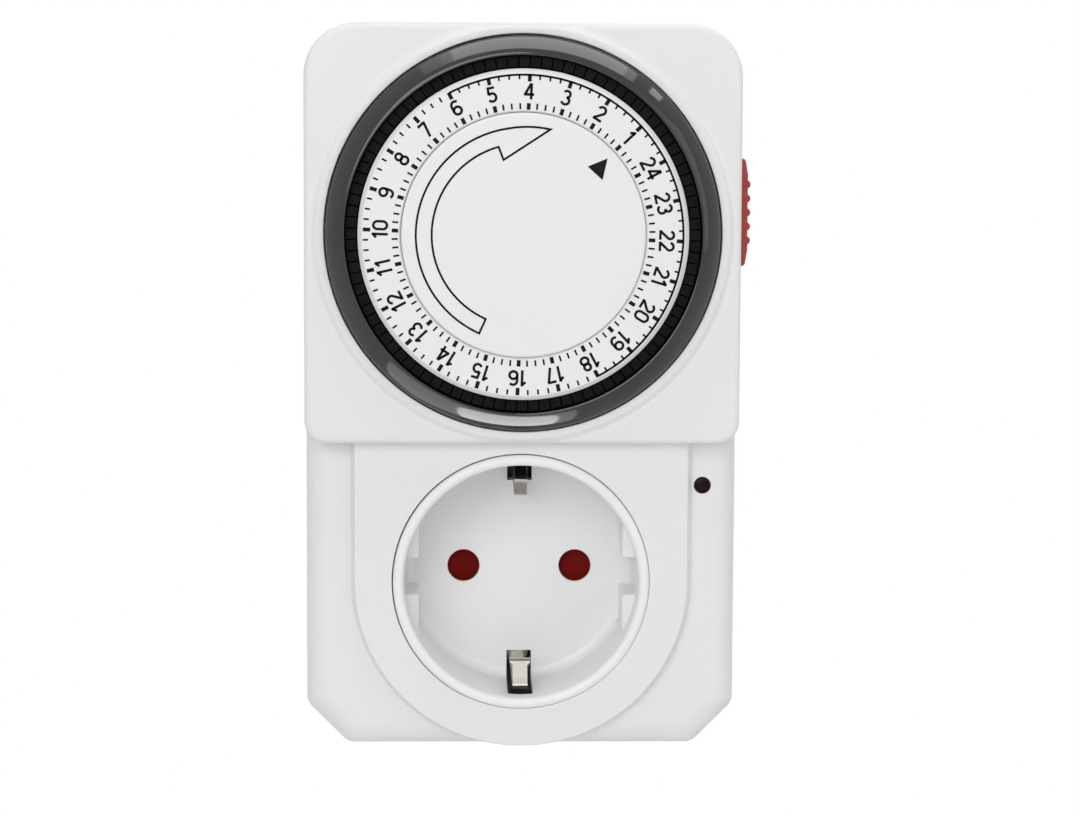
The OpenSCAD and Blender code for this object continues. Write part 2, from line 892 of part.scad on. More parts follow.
module dial_axle() {
    color("silver") at_dial() difference() {
        union() {
            rod(axle_r, floor_back_z - cut / 2, axle_tip_z);
            rod(axle_flange_r, floor_back_z - axle_flange_t, floor_back_z);
        }
        rod(axle_bore, floor_back_z - 2 * cut, axle_tip_z + cut);
    }
}

module centre_disc() {
    color("white") at_dial() {
        rotate_extrude() {
            translate([0, scale_z - 1.3]) square([centre_r, 1.5]);
            translate([0, axle_tip_z]) square([4.5, cut]);
            translate([0, floor_z]) square([axle_bore - pin_fit, axle_tip_z - floor_z + cut]);
        }
    }
}

module stem_shape(grow) {
    w = stem_w + 2 * grow;
    translate([tappet_in + 0.2 - grow, -w / 2]) square([tappet_w - 0.4 + 2 * grow, w]);
}

module dial_wheel() {
    color([0.08, 0.08, 0.09]) at_dial() difference() {
        rotate_extrude() {
            translate([axle_r + run_gap, web_z]) square([flange_r - axle_r - run_gap, web_top_z - web_z]);
            translate([axle_r + run_gap, gear_z]) square([hub_r - axle_r, axle_tip_z - 0.2 - gear_z]);
        }
        slab(web_z - cut, web_top_z + cut) {
            for (i = [0 : tappets - 1]) {
                rotate(tappet_a(i)) stem_shape(stem_gap);
            }
        }
    }
}

// angle of a tappet, turned from the X axis: it sits between two quarter-hour marks
function tappet_a(i) = 90 - hour_a(0) + (i + 0.5) * 360 / tappets;
function is_night(i) = i >= night_from * 4 && i < night_to * 4;

module tappet() {
    head_in = tappet_in * PI / tappets - 0.11;
    head_out = tappet_out * PI / tappets - 0.11;
    slab(head_z, head_z + head_h) {
        polygon([[tappet_in, -head_in], [tappet_out, -head_out], [tappet_out, head_out], [tappet_in, head_in]]);
    }
    slab(stem_z, head_z + head_h / 2) stem_shape(0);
}

module tappets_idle() {
    color([0.08, 0.08, 0.09]) at_dial() for (i = [0 : tappets - 1]) {
        if (!is_night(i)) rotate(tappet_a(i)) tappet();
    }
}

module tappets_night() {
    color([0.08, 0.08, 0.09]) at_dial() for (i = [0 : tappets - 1]) {
        if (is_night(i)) rotate(tappet_a(i)) tappet();
    }
}

module scale_disc() {
    inner = centre_r + fit_gap;
    color("white") at_dial() rotate_extrude() {
        polygon([[inner, scale_z], [scale_r - scale_bevel, scale_z], [scale_r, scale_z - scale_bevel],
            [scale_r, web_top_z], [scale_r - 1, web_top_z], [scale_r - 1, scale_z - scale_t],
            [inner, scale_z - scale_t]]);
    }
}

// the ring's section: a convex slope from the foot at the opening up to the crest
module ring_section() {
    foot = [ring_r, slope_foot_z];
    crest = [ring_r - slope_w, crest_z];
    run = crest - foot;
    half = norm(run) / 2;
    inward = [-run[1], run[0]] / norm(run);
    middle = (foot + crest) / 2 + inward * sqrt(slope_r * slope_r - half * half);
    steps = 10;
    start = atan2(foot[1] - middle[1], foot[0] - middle[0]);
    sweep = atan2(crest[1] - middle[1], crest[0] - middle[0]) - start;
    polygon(concat(
        [for (i = [0 : steps]) middle + polar(slope_r, start + sweep * i / steps)],
        [[ring_in + 0.15, crest_z], [ring_in, crest_z - 0.3], [ring_in, web_top_z], [ring_r, web_top_z]]));
}

module dial_ring() {
    color([0.16, 0.16, 0.17]) at_dial() rotate_extrude() ring_section();
}

// ---- gears ----

// a spur gear's outline, with a tooth at the angle `phase`
module gear_outline(m, teeth, phase, inside = false) {
    sign = inside ? -1 : 1;
    root = pitch_r(m, teeth) - sign * 1.1 * m;
    tip = pitch_r(m, teeth) + sign * 0.9 * m;
    root_a = 0.285 * 360 / teeth;
    tip_a = 0.1 * 360 / teeth;
    polygon([for (i = [0 : teeth - 1]) for (p = [[root, -root_a], [tip, -tip_a], [tip, tip_a], [root, root_a]])
        polar(p[0], phase + i * 360 / teeth + p[1])]);
}

// a gap at the angle `a`, so that it meshes with a tooth pointing the other way
function gap_at(teeth, a) = a + 180 / teeth;

// a wheel and its pinion on one arbor
module wheel_and_pinion(at, z, wheel, pinion, arbor = arbor_r) {
    translate(at) {
        slab(z, z + wheel_t) gear_outline(wheel[0], wheel[1], wheel[2]);
        slab(z + wheel_t - cut / 2, z + wheel_t + pinion_over) gear_outline(pinion[0], pinion[1], pinion[2]);
        rod(arbor, back_plate_z + 0.1, front_plate_z + plate_t - 0.1);
    }
}

module dial_gear() {
    color("ivory") at_dial() difference() {
        rod(pitch_r(dial_m, ring_teeth) + 2, gear_z, web_z);
        slab(gear_z - cut, web_z + cut) {
            gear_outline(dial_m, ring_teeth, gap_at(ring_teeth, drive_a), true);
        }
    }
}

module drive_pinion() {
    color("silver") at_dial() translate(drive_at) {
        slab(gear_z - 0.1, web_z - 0.2) gear_outline(dial_m, drive_teeth, drive_a);
        rod(drive_r, back_plate_z + 0.1, web_z - 0.2);
        rod(collar_r, clutch_z - 0.8, clutch_hub_z);
        rod(collar_r, clutch_top_z + cone_h, clutch_top_z + cone_h + 0.7);
    }
}

module clutch_spring() {
    color("silver") at_dial() translate(drive_at) difference() {
        rotate_extrude() {
            polygon([[drive_r + 0.05, clutch_top_z + cone_h - 0.35], [collar_r, clutch_top_z],
                [collar_r, clutch_top_z + 0.35], [drive_r + 0.05, clutch_top_z + cone_h]]);
        }
        rod(drive_r + 0.05, clutch_top_z - cut, clutch_top_z + cut);
    }
}

module clutch_wheel() {
    phase = gap_at(clutch_wheel_teeth, to_fourth_a);
    color("ivory") at_dial() translate(drive_at) difference() {
        union() {
            slab(clutch_z, clutch_z + wheel_t) gear_outline(clutch_m, clutch_wheel_teeth, phase);
            rod(2.6, clutch_hub_z, clutch_top_z);
        }
        rod(drive_r + run_gap, clutch_z - 2 * cut, clutch_z + wheel_t + 2 * cut);
    }
}

module fourth_wheel() {
    color("ivory") at_dial() wheel_and_pinion(fourth_at, fourth_z,
        [fourth_m, fourth_wheel, gap_at(fourth_wheel, to_third_a)],
        [clutch_m, clutch_pinion, to_fourth_a + 180]);
}

module third_wheel() {
    color("ivory") at_dial() wheel_and_pinion(third_at, third_z,
        [fine_m, fine_wheel, gap_at(fine_wheel, to_second_a)],
        [fourth_m, fourth_pinion, to_third_a + 180]);
}

module second_wheel() {
    color("ivory") at_dial() wheel_and_pinion(second_at, second_z,
        [fine_m, fine_wheel, gap_at(fine_wheel, to_first_a)],
        [fine_m, fine_pinion, to_second_a + 180]);
}

module first_wheel() {
    color("ivory") at_dial() wheel_and_pinion(first_at, first_z,
        [fine_m, fine_wheel, gap_at(fine_wheel, to_motor_a)],
        [fine_m, fine_pinion, to_first_a + 180]);
}

// ---- motor ----

module at_motor() {
    at_dial() translate(motor_at) children();
}

module motor_rotor() {
    color("dimgray") at_motor() {
        rod(rotor_r, motor_z + 0.1, first_z + wheel_t + 0.4);
        rod(7.5, motor_z + 2.2, motor_top_z - 0.8);
        slab(train_z + 0.1, first_z + wheel_t + 0.4) gear_outline(fine_m, fine_pinion, to_motor_a + 180);
    }
}

module motor_can() {
    color("silver") at_motor() difference() {
        rod(motor_r, motor_z, motor_top_z);
        rod(motor_r - can_t, motor_z + can_t, motor_top_z + cut);
        rod(rotor_r + run_gap, motor_z - cut, motor_z + 2 * cut);
        box([-1.4, 4.8], [-motor_r - cut, -motor_r + 2 * cut], [motor_z + 1.2, motor_top_z - 2]);
    }
}

module motor_bobbin() {
    color("ivory") at_motor() {
        tube(9.4, 8.6, motor_z + can_t, motor_top_z);
        tube(motor_r - can_t - 0.2, 9, motor_z + can_t, motor_z + can_t + 0.9);
        tube(motor_r - can_t - 0.2, 9, motor_top_z - 0.9, motor_top_z);
    }
}

module motor_winding() {
    color("chocolate") at_motor() tube(motor_r - can_t - 1, 9.5, motor_z + can_t + 1, motor_top_z - 1);
}

module motor_pole_plate() {
    color("silver") at_motor() difference() {
        rod(motor_r, motor_top_z, back_plate_z);
        rod(2, motor_top_z - cut, back_plate_z + cut);
    }
}

// ---- gear plates ----

arbors = [fourth_at, third_at, second_at, first_at];
plate_margin = 3.25;
plate_side = 6.15;
plate_top = 4.1;
plate_x0 = drive_at[0] - pitch_r(clutch_m, clutch_wheel_teeth) - plate_side;
plate_y = [drive_at[1] - pitch_r(clutch_m, clutch_wheel_teeth) - plate_margin, screw_spots[0][1] + plate_top];

module gear_plate_front() {
    spot = screw_spots[1];
    color("ivory") at_dial() difference() {
        slab(front_plate_z, front_plate_z + plate_t) {
            translate([plate_x0, drive_at[1] - 5]) square([12 - plate_x0, 44]);
            translate([plate_x0 + 6, spot[1] - 3]) square([spot[0] + 3 - plate_x0 - 6, 12]);
        }
        for (p = arbors) {
            translate(p) rod(arbor_r + run_gap, front_plate_z - cut, front_plate_z + 2 * cut);
        }
        translate(drive_at) rod(drive_r + run_gap, front_plate_z - cut, front_plate_z + 2 * cut);
        for (p = screw_spots) {
            translate(p) rod(plate_screw_r + 0.15, front_plate_z - cut, front_plate_z + 2 * cut);
        }
    }
}

module gear_plate_back() {
    right = tip_at[0] + base_x + 1.4;
    color("ivory") at_dial() difference() {
        union() {
            slab(back_plate_z, train_z) {
                translate([plate_x0, plate_y[0]]) square([right - plate_x0, plate_y[1] - plate_y[0]]);
            }
            for (p = screw_spots) {
                translate(p) rod(2.6, train_z - cut / 2, front_plate_z);
            }
        }
        for (p = arbors) {
            translate(p) rod(arbor_r + run_gap, back_plate_z - cut, train_z + cut);
        }
        translate(drive_at) rod(drive_r + run_gap, back_plate_z - cut, train_z + cut);
        translate(motor_at) rod(rotor_r + run_gap, back_plate_z - cut, train_z + cut);
        for (p = screw_spots) {
            translate(p) rod(plate_screw_r + 0.15, back_plate_z - cut, front_plate_z + cut);
        }
        for (p = posts) {
            translate([p[0], p[1] - dial_up, 0]) rod(post_r + 0.4, back_plate_z - cut, train_z + cut);
        }
        for (y = [slot_y - dial_up, slot_y - dial_up - 2.6]) {
            box([tip_at[0] - 1.8, tip_at[0] + 1.8], [y - 0.3, y + bar_t + 0.3],
                [back_plate_z - cut, train_z + cut]);
        }
    }
}

module plate_screws() {
    color("silver") at_dial() for (p = screw_spots) {
        translate(p) {
            rod(plate_screw_r, back_plate_z - cut, floor_z - 0.5);
            rod(2.4, back_plate_z - 1.6, back_plate_z);
        }
    }
}

// ---- switch ----

module override_slider() {
    x = body_x;
    ridges = 5;
    pitch = slider_len / 7.7;
    end_y = slider_len / 2;
    top_y = end_y - 2.6;
    top_x = x + slider_rise - 0.45;
    end_x = top_x - 0.45;
    color([0.68, 0.22, 0.2]) at_dial() {
        translate([0, slider_y, 0]) {
            slab(slider_mid_z - slider_w / 2, slider_mid_z + slider_w / 2) {
                polygon([[x + 0.05, -end_y], [end_x - 0.5, -end_y], [end_x, -end_y + 0.5], [top_x, -top_y],
                    [top_x, top_y], [end_x, end_y - 0.5], [end_x - 0.5, end_y], [x + 0.05, end_y]]);
                for (i = [0 : ridges - 1]) {
                    translate([x + slider_rise - 0.75, (i - (ridges - 1) / 2) * pitch]) circle(0.75, $fn = 24);
                }
            }
            box([guide_x + guide_t - cut / 2, x + cut / 2], [-shank_y, shank_y],
                [slider_mid_z - shank_z, slider_mid_z + shank_z]);
        }
        box([guide_x, guide_x + guide_t], [guide_y0, guide_y1], [guide_z0, guide_z1]);
        translate([tip_at[0] - 1.2, finger_y, finger_z]) rotate([0, 90, 0])
            cylinder(r = finger_r, h = guide_x + cut / 2 - tip_at[0] + 1.2);
    }
}

// the lever's side view, in Y and Z
module lever_side() {
    ramp_from = finger_y - 0.6;
    ramp_to = finger_y + slider_travel + 1.2;
    ramp_h = (ramp_to - finger_y) * ramp_slope;
    front = pivot_z + 1;
    translate([pivot_y, pivot_z]) circle(lever_hub_r);
    polygon([[pivot_y, lever_back_z], [nub_y - 0.8, lever_back_z], [nub_y - 0.8, nub_z], [nub_y + 0.8, nub_z],
        [nub_y + 0.8, lever_back_z], [tip_at[1] + tip_r, lever_back_z], [tip_at[1] + tip_r, tip_z - tip_r],
        [tip_at[1] - tip_r, tip_z - tip_r], [tip_at[1] - tip_r, front], [ramp_to + 0.6, front],
        [ramp_to, front + ramp_h], [finger_y, front], [ramp_from, front], [pivot_y, front]]);
    translate([tip_at[1], tip_z - tip_r]) circle(tip_r);
}

module follower_lever() {
    color("dimgray") at_dial() difference() {
        along_x(tip_at[0] - lever_w / 2, tip_at[0] + lever_w / 2) lever_side();
        pivot_hole(pivot_r + run_gap, lever_w);
    }
}

module pivot_hole(r, length) {
    translate([tip_at[0] - length / 2 - cut, pivot_y, pivot_z]) rotate([0, 90, 0])
        cylinder(r = r, h = length + 2 * cut);
}

module follower_pin() {
    color("silver") at_dial() pivot_hole(pivot_r, 2 * base_x - 2 * cut);
}

module switch_base() {
    ear_gap = lever_w / 2 + 0.3;
    color([0.15, 0.15, 0.15]) at_dial() difference() {
        union() {
            box([tip_at[0] - base_x, tip_at[0] + base_x], [base_y, blade_root_y], [train_z, blade_z]);
            for (x = [tip_at[0] - base_x, tip_at[0] + ear_gap]) {
                box([x, x + base_x - ear_gap], [blade_root_y - cut, ear_y], [train_z, ear_z]);
            }
        }
        box([tip_at[0] - blade_w / 2 - 0.1, tip_at[0] + blade_w / 2 + 0.1], [base_y - cut, blade_root_y + cut],
            [fixed_z - 0.05, fixed_z + strip_t + 0.05]);
        pivot_hole(pivot_r + 0.02, 2 * base_x);
    }
}

module blade_terminal() {
    x = [tip_at[0] - blade_w / 2, tip_at[0] + blade_w / 2];
    color("goldenrod") at_dial() {
        box(x, [base_y - 3.2, blade_root_y], [blade_z, blade_z + blade_t]);
    }
}

module contact_blade() {
    x = [tip_at[0] - blade_w / 2, tip_at[0] + blade_w / 2];
    color("goldenrod") at_dial() {
        box(x, [blade_bead_y, contact_y + 2], [blade_z, blade_z + blade_t]);
        translate([x[0], blade_bead_y, blade_z + blade_t / 2]) rotate([0, 90, 0])
            cylinder(r = bead_r, h = blade_w);
        translate([tip_at[0], contact_y, 0]) rod(contact_r - 0.15, blade_z - rivet_h, blade_z + blade_t / 2);
    }
}

module fixed_contact() {
    x = [tip_at[0] - blade_w / 2, tip_at[0] + blade_w / 2];
    color("goldenrod") at_dial() {
        box(x, [base_y - 0.6, contact_y + 2], [fixed_z, fixed_z + strip_t]);
        translate([tip_at[0], contact_y, 0]) rod(contact_r, fixed_z + strip_t / 2, fixed_z + 0.9);
    }
}

// ---- bus bars and wires ----

module busbar_live() {
    right = tip_at[0] + bar_w / 2;
    left = -pin_x - bar_w / 2;
    color("goldenrod") {
        difference() {
            union() {
                translate([-pin_x, 0, 0]) rod(pin_flange_r - 0.2, eyelet_z, eyelet_z + eyelet_t);
                box([left, left + bar_w], [0, riser_y + bar_t], [eyelet_z, eyelet_z + eyelet_t]);
            }
            translate([-pin_x, 0, 0]) rod(stub_r + pin_fit, eyelet_z - cut, eyelet_z + 2 * cut);
        }
        box([left, left + bar_w], [riser_y, riser_y + bar_t], [eyelet_z, live_z + bar_t]);
        box([left, left + bar_w], [riser_y, live_run_y + bar_w], [live_z, live_z + bar_t]);
        box([left, right], [live_run_y, live_run_y + bar_w], [live_z, live_z + bar_t]);
        box([right - bar_w, right], [live_run_y, slot_y + bar_t], [live_z, live_z + bar_t]);
        box([right - bar_w, right], [slot_y, slot_y + bar_t], [live_z, fixed_z + strip_t]);
    }
}

module busbar_switched() {
    right = tip_at[0] + bar_w / 2;
    left = -pin_x - bar_w / 2;
    y = slot_y - 2.6;
    color("goldenrod") {
        box([right - bar_w, right], [y, y + bar_t], [switched_z, blade_z + blade_t]);
        box([right - bar_w, right], [switched_run_y, y + bar_t], [switched_z, switched_z + bar_t]);
        box([left, right], [switched_run_y, switched_run_y + bar_w], [switched_z, switched_z + bar_t]);
        box([left, left + bar_w], [sleeve_out + 0.05, switched_run_y + bar_w],
            [switched_z, switched_z + bar_t]);
    }
}

// a wire through a list of points, with round bends
module wire(points, r) {
    for (i = [0 : len(points) - 2]) {
        run = points[i + 1] - points[i];
        length = norm(run);
        translate(points[i]) rotate([0, acos(run[2] / length), atan2(run[1], run[0])])
            cylinder(r = r, h = length, $fn = 32);
    }
    for (i = [1 : len(points) - 2]) {
        translate(points[i]) sphere(r, $fn = 32);
    }
}

module motor_leads() {
    can_y = dial_up + motor_at[1] - motor_r - 0.2;
    bobbin_y = can_y + can_t + 0.25;
    live_x = motor_at[0] + 3;
    neutral_x = motor_at[0] + 0.4;
    turn_y = step_y - 2;
    color("firebrick") wire([[live_x, bobbin_y, motor_z + 4], [live_x, live_run_y + 1.3, motor_z + 4],
        [live_x, live_run_y + 1.3, live_z + bar_t]], wire_r);
    color("royalblue") wire([[neutral_x, bobbin_y, lead_z], [neutral_x, turn_y, lead_z],
        [pin_x, turn_y, lead_z], [pin_x, sleeve_out + 0.05, lead_z]], wire_r);
}

// ---- indicator ----

module lamp_lens() {
    flange = plate_z - wall;
    color([0.3, 0.03, 0.04]) translate([lamp_x, lamp_y, 0]) {
        rod(lamp_hole_r - 0.05, flange - cut, plate_z + 0.2);
        difference() {
            rod(2.9, flange - 8.5, flange);
            rod(2.3, flange - 9, flange - 1.5);
        }
    }
}

module neon_lamp() {
    top = plate_z - wall - 1.6;
    color([0.9, 0.6, 0.4]) translate([lamp_x, lamp_y, 0]) rod(2.2, top - 12, top);
}

module lamp_resistor() {
    end = plate_z - wall - 13.6;
    color("tan") translate([lamp_x - 0.9, lamp_y, 0]) rod(1.1, end - 9, end - 3);
}

module lamp_leads() {
    end = plate_z - wall - 13.6;
    left = [lamp_x - 0.9, lamp_y];
    right = [lamp_x + 1.1, lamp_y];
    y = switched_run_y + bar_w / 2;
    x = tip_at[0] + bar_w / 2 + 0.02;
    turn_z = switched_z + bar_t / 2;
    color("silver") {
        wire([[left[0], left[1], end], [left[0], left[1], end - 3]], 0.3);
        wire([[left[0], left[1], end - 9], [left[0], left[1], turn_z], [left[0], y, turn_z],
            [x, y, turn_z]], 0.3);
        wire([[right[0], right[1], end], [right[0], right[1], lamp_lead_z], [right[0], 1, lamp_lead_z],
            [pin_x + sleeve_out, 1, lamp_lead_z]], 0.3);
    }
}

stand() front_cover();
stand() rear_cover();
stand() plug_body();
stand() cover_screws();
stand() socket_insert();
stand() safety_shutter();
stand() shutter_spring();
stand() shutter_retainer();
stand() contact_live();
stand() contact_neutral();
stand() contact_carrier();
stand() earth_strap();
stand() plug_earth_strap();
stand() earth_rivet();
stand() plug_pin_live();
stand() plug_pin_neutral();
stand() pin_clamp();
stand() clamp_screw();
stand() dial_axle();
stand() centre_disc();
stand() dial_wheel();
stand() scale_disc();
stand() dial_ring();
stand() dial_gear();
stand() tappets_idle();
stand() tappets_night();
stand() drive_pinion();
stand() clutch_spring();
stand() clutch_wheel();
stand() fourth_wheel();
stand() third_wheel();
stand() second_wheel();
stand() first_wheel();
stand() motor_rotor();
stand() motor_can();
stand() motor_bobbin();
stand() motor_winding();
stand() motor_pole_plate();
stand() gear_plate_front();
stand() gear_plate_back();
stand() plate_screws();
stand() override_slider();
stand() follower_lever();
stand() follower_pin();
stand() switch_base();
stand() blade_terminal();
stand() contact_blade();
stand() fixed_contact();
stand() busbar_live();
stand() busbar_switched();
stand() motor_leads();
stand() lamp_lens();
stand() neon_lamp();
stand() lamp_resistor();
stand() lamp_leads();
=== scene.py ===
import functools
import math

import bmesh
import bpy
from bpy.props import FloatProperty, FloatVectorProperty, IntProperty, PointerProperty
from bpy.types import Operator, Panel, PropertyGroup
from mathutils import Matrix, Vector
from mathutils.geometry import delaunay_2d_cdt


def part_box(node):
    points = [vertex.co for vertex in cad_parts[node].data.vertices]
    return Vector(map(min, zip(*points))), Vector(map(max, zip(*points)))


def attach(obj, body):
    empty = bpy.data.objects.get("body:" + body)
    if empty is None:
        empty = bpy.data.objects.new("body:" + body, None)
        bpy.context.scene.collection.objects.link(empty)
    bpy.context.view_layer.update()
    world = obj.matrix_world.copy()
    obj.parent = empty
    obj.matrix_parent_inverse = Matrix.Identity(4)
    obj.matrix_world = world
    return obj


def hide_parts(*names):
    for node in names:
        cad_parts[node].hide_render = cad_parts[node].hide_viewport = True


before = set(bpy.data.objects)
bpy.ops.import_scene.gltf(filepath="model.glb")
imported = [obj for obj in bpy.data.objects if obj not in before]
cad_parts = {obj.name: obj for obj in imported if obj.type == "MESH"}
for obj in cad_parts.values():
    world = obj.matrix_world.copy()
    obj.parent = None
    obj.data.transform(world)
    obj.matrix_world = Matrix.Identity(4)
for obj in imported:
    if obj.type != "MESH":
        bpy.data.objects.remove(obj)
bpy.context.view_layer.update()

bl_info = {
    "name": "Plug-in Timer Switch",
    "version": (1, 0, 0),
    "blender": (4, 5, 0),
    "location": "3D View > Sidebar > Timer",
    "description": "Builds the visible pieces of a 24-hour plug-in timer switch round its packed frame",
    "category": "Object",
}

# Pieces are drawn in millimetres with X to the right, Y up and Z out of the wall, like the frame's source.
MM = 0.001
STAND = Matrix(((MM, 0, 0, 0), (0, 0, -MM, 0), (0, MM, 0, 0), (0, 0, 0, 1)))

# Both covers are cut back by this much along their joint.
JOINT_CUT = 0.22
# Lines drawn on a face stop this far inside its outline.
LINE_GAP = 0.03
# Half the width of the windows for the plug's earth contacts
WINDOW = 3


def node_edge(node, corner, axis):
    """One side of a frame node's box, in millimetres."""
    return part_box(node)[corner][axis] / MM


def out_of_wall(node):
    """How far a frame node reaches out of the wall."""
    return -node_edge(node, 0, 1)


def length(name, description, size):
    """A length setting whose default is given in millimetres."""
    return FloatProperty(name=name, description=description, default=size * MM, min=0, precision=5,
                         unit="LENGTH")


def colour(name, description, value):
    """A linear colour setting."""
    return FloatVectorProperty(name=name, description=description, default=value, size=3, min=0, max=1,
                               subtype="COLOR")


def power(name, description, watts):
    """A light's power setting."""
    return FloatProperty(name=name, description=description, default=watts, unit="POWER")


# ---- settings ----

class Millimetres:
    """Hands out a group's lengths in millimetres."""

    def mm(self, name):
        return getattr(self, name) / MM


class TimerCase(Millimetres, PropertyGroup):
    """Both covers and the plug boss."""
    half_width: length("Half width", "Distance from the middle to a side wall",
                       node_edge("rear_cover", 1, 0))
    top: length("Top", "Height of the top edge above the socket axis", node_edge("rear_cover", 1, 2))
    drop: length("Drop", "Distance from the socket axis down to the bottom edge",
                 -node_edge("rear_cover", 0, 2))
    back: length("Back face", "Height of the back face out of the wall", -node_edge("rear_cover", 1, 1))
    joint: length("Joint", "Height of the joint between the covers", -node_edge("front_cover", 1, 1))
    plate: length("Front plate", "Height of the lower front plate", 55)
    boss: length("Boss", "Height of the U-shaped boss round the socket", 57)
    block: length("Dial block", "Height of the dial block", 60)
    collar: length("Collar rise", "Rise of the collar round the dial", out_of_wall("front_cover") - 60)
    step: length("Step", "Height of the dial block's lower edge above the socket axis", 23.5)
    wall: length("Wall", "Wall thickness of both covers", 2)
    corner: length("Upper corners", "Radius of the upper corners", 8.5)
    cut: length("Lower corners", "Size of the 45 degree cut at the lower corners", 6.9)
    bend: length("Cut corner radius", "Radius at each end of the 45 degree cuts", 2.6)
    soft: length("Soft edge", "Radius of the lower body's front edges", 4)
    block_edge: length("Block edge", "Radius of the dial block's front edges", 1)
    block_corner: length("Block corners", "Radius of the dial block's lower corners", 3.7)
    back_edge: length("Back edge", "Radius of the back edges", 2.4)
    boss_width: length("Boss half width", "Half width of the U-shaped boss", 28.1)
    boss_slope: length("Boss slope", "Width of the boss's soft slope", 0.9)
    opening: length("Dial opening", "Radius of the dial opening", 32.5)
    collar_width: length("Collar width", "Width of the collar round the dial", 2)
    lamp_x: length("Indicator across", "Distance of the indicator to the right of the socket axis", 30.1)
    lamp_y: length("Indicator up", "Height of the indicator above the socket axis", 16)
    lamp_hole: length("Indicator hole", "Radius of the indicator hole", 1.4)
    plug_radius: length("Plug radius", "Radius of the round plug boss", 18.5)
    plug_flat: length("Plug flats", "Half width of the plug boss across its flats",
                      node_edge("plug_body", 1, 0) - 2.3)
    plug_ridge: length("Plug ridge", "Height of the guide ridge on each flat", 5.2)
    plug_edge: length("Plug edge", "Radius of the plug boss's front edge", 0.9)


class TimerSocket(Millimetres, PropertyGroup):
    """The socket insert and its earth clips."""
    well: length("Well radius", "Radius of the socket well", 19.5)
    wall: length("Insert wall", "Thickness of the insert's round wall", 1.8)
    rim: length("Rim", "Height of the insert's rounded rim", out_of_wall("socket_insert"))
    floor: length("Well floor", "Height of the well's floor", 39.5)
    floor_wall: length("Floor thickness", "Thickness of the well's floor", 2)
    hole: length("Pin holes", "Radius of each pin hole", 2.7)
    hole_x: length("Pin spacing", "Distance of each pin hole from the middle", 9.5)
    rib_x: length("Guide ribs", "Distance from the well's axis to the guide ribs", 17)
    rib_top: length("Rib tops", "Height of the guide ribs", 51)
    pocket: length("Rib pocket", "Height of the pocket in each guide rib", 6.1)
    slot: length("Earth slots", "Width of the earth slots", 4.2)
    slot_y: length("Earth slot start", "Distance from the well's axis to the earth slots", 14.7)
    slot_top: length("Earth slot top", "Height at which the earth slots end in the wall", 54)
    clip: length("Earth clip", "Width of each earth clip", 2.5)
    clip_bar: length("Clip bar", "Width of the bar across the clip's contact bend", 3.5)
    clip_sheet: length("Clip sheet", "Thickness of the clip's sheet metal", 0.6)


class TimerDial(Millimetres, PropertyGroup):
    """The ring, scale disc, centre disc and their print."""
    centre: length("Centre height", "Height of the dial's axis above the socket axis",
                   (node_edge("dial_ring", 0, 2) + node_edge("dial_ring", 1, 2)) / 2)
    ring: length("Ring radius", "Outer radius of the dial ring", node_edge("dial_ring", 1, 0))
    ring_inner: length("Ring inner radius", "Inner radius of the dial ring", 29.05)
    ring_foot: length("Ring foot", "Height at which the ring's slope starts", 61.6)
    ring_back: length("Ring back", "Height of the ring's back face", -node_edge("dial_ring", 1, 1))
    crest: length("Ring crest", "Height of the ring's crest", out_of_wall("dial_ring"))
    slope: length("Ring slope", "Radial width of the ring's sloping face", 2.7)
    slope_curve: length("Slope curve", "Radius of the slope's convex curve", 8)
    scale: length("Scale radius", "Outer radius of the scale disc", node_edge("scale_disc", 1, 0))
    scale_hole: length("Scale hole", "Radius of the hole in the scale disc", 20.1)
    scale_top: length("Scale face", "Height of the scale face", out_of_wall("scale_disc"))
    scale_back: length("Scale back", "Height of the scale disc's back edge", -node_edge("scale_disc", 1, 1))
    bevel: length("Scale bevel", "Size of the bevel round the scale disc", 0.75)
    disc: length("Centre disc", "Radius of the fixed centre disc", node_edge("centre_disc", 1, 0))
    disc_top: length("Centre disc face", "Height of the centre disc's face", out_of_wall("centre_disc"))
    print: length("Print", "Thickness of the print", 0.03)
    numeral: length("Numerals", "Height of the hour numbers", 2.6)
    weight: length("Numeral weight", "Width of the hour numbers' strokes", 0.42)
    numeral_radius: length("Numeral radius", "Radius on which the hour numbers stand", 23.25)
    midnight: FloatProperty(name="Midnight", description="Angle of hour 24, clockwise from the top",
                            default=math.radians(62), subtype="ANGLE")
    day_end: IntProperty(name="Night line start", default=18,
                         description="Hour at which the night line starts")
    day_start: IntProperty(name="Night line end", default=6,
                           description="Hour at which the night line ends")


class TimerSlider(Millimetres, PropertyGroup):
    """The override slider."""
    middle: length("Middle height", "Height of the grip's middle above the socket axis", 60.9)
    depth: length("Middle depth", "Distance of the grip's middle from the wall", 42.5)
    grip: length("Grip length", "Length of the slider's grip", 18)
    width: length("Grip width", "Width of the grip from front to back", 9)
    rise: length("Grip rise", "How far the grip stands out of the side wall", 2.55)
    slot: length("Slot", "Half length of the shank", 4)
    travel: length("Travel", "Travel of the slider", 4)
    ridges: IntProperty(name="Ridges", description="Number of finger ridges on the grip", default=5,
                        min=1, max=9)


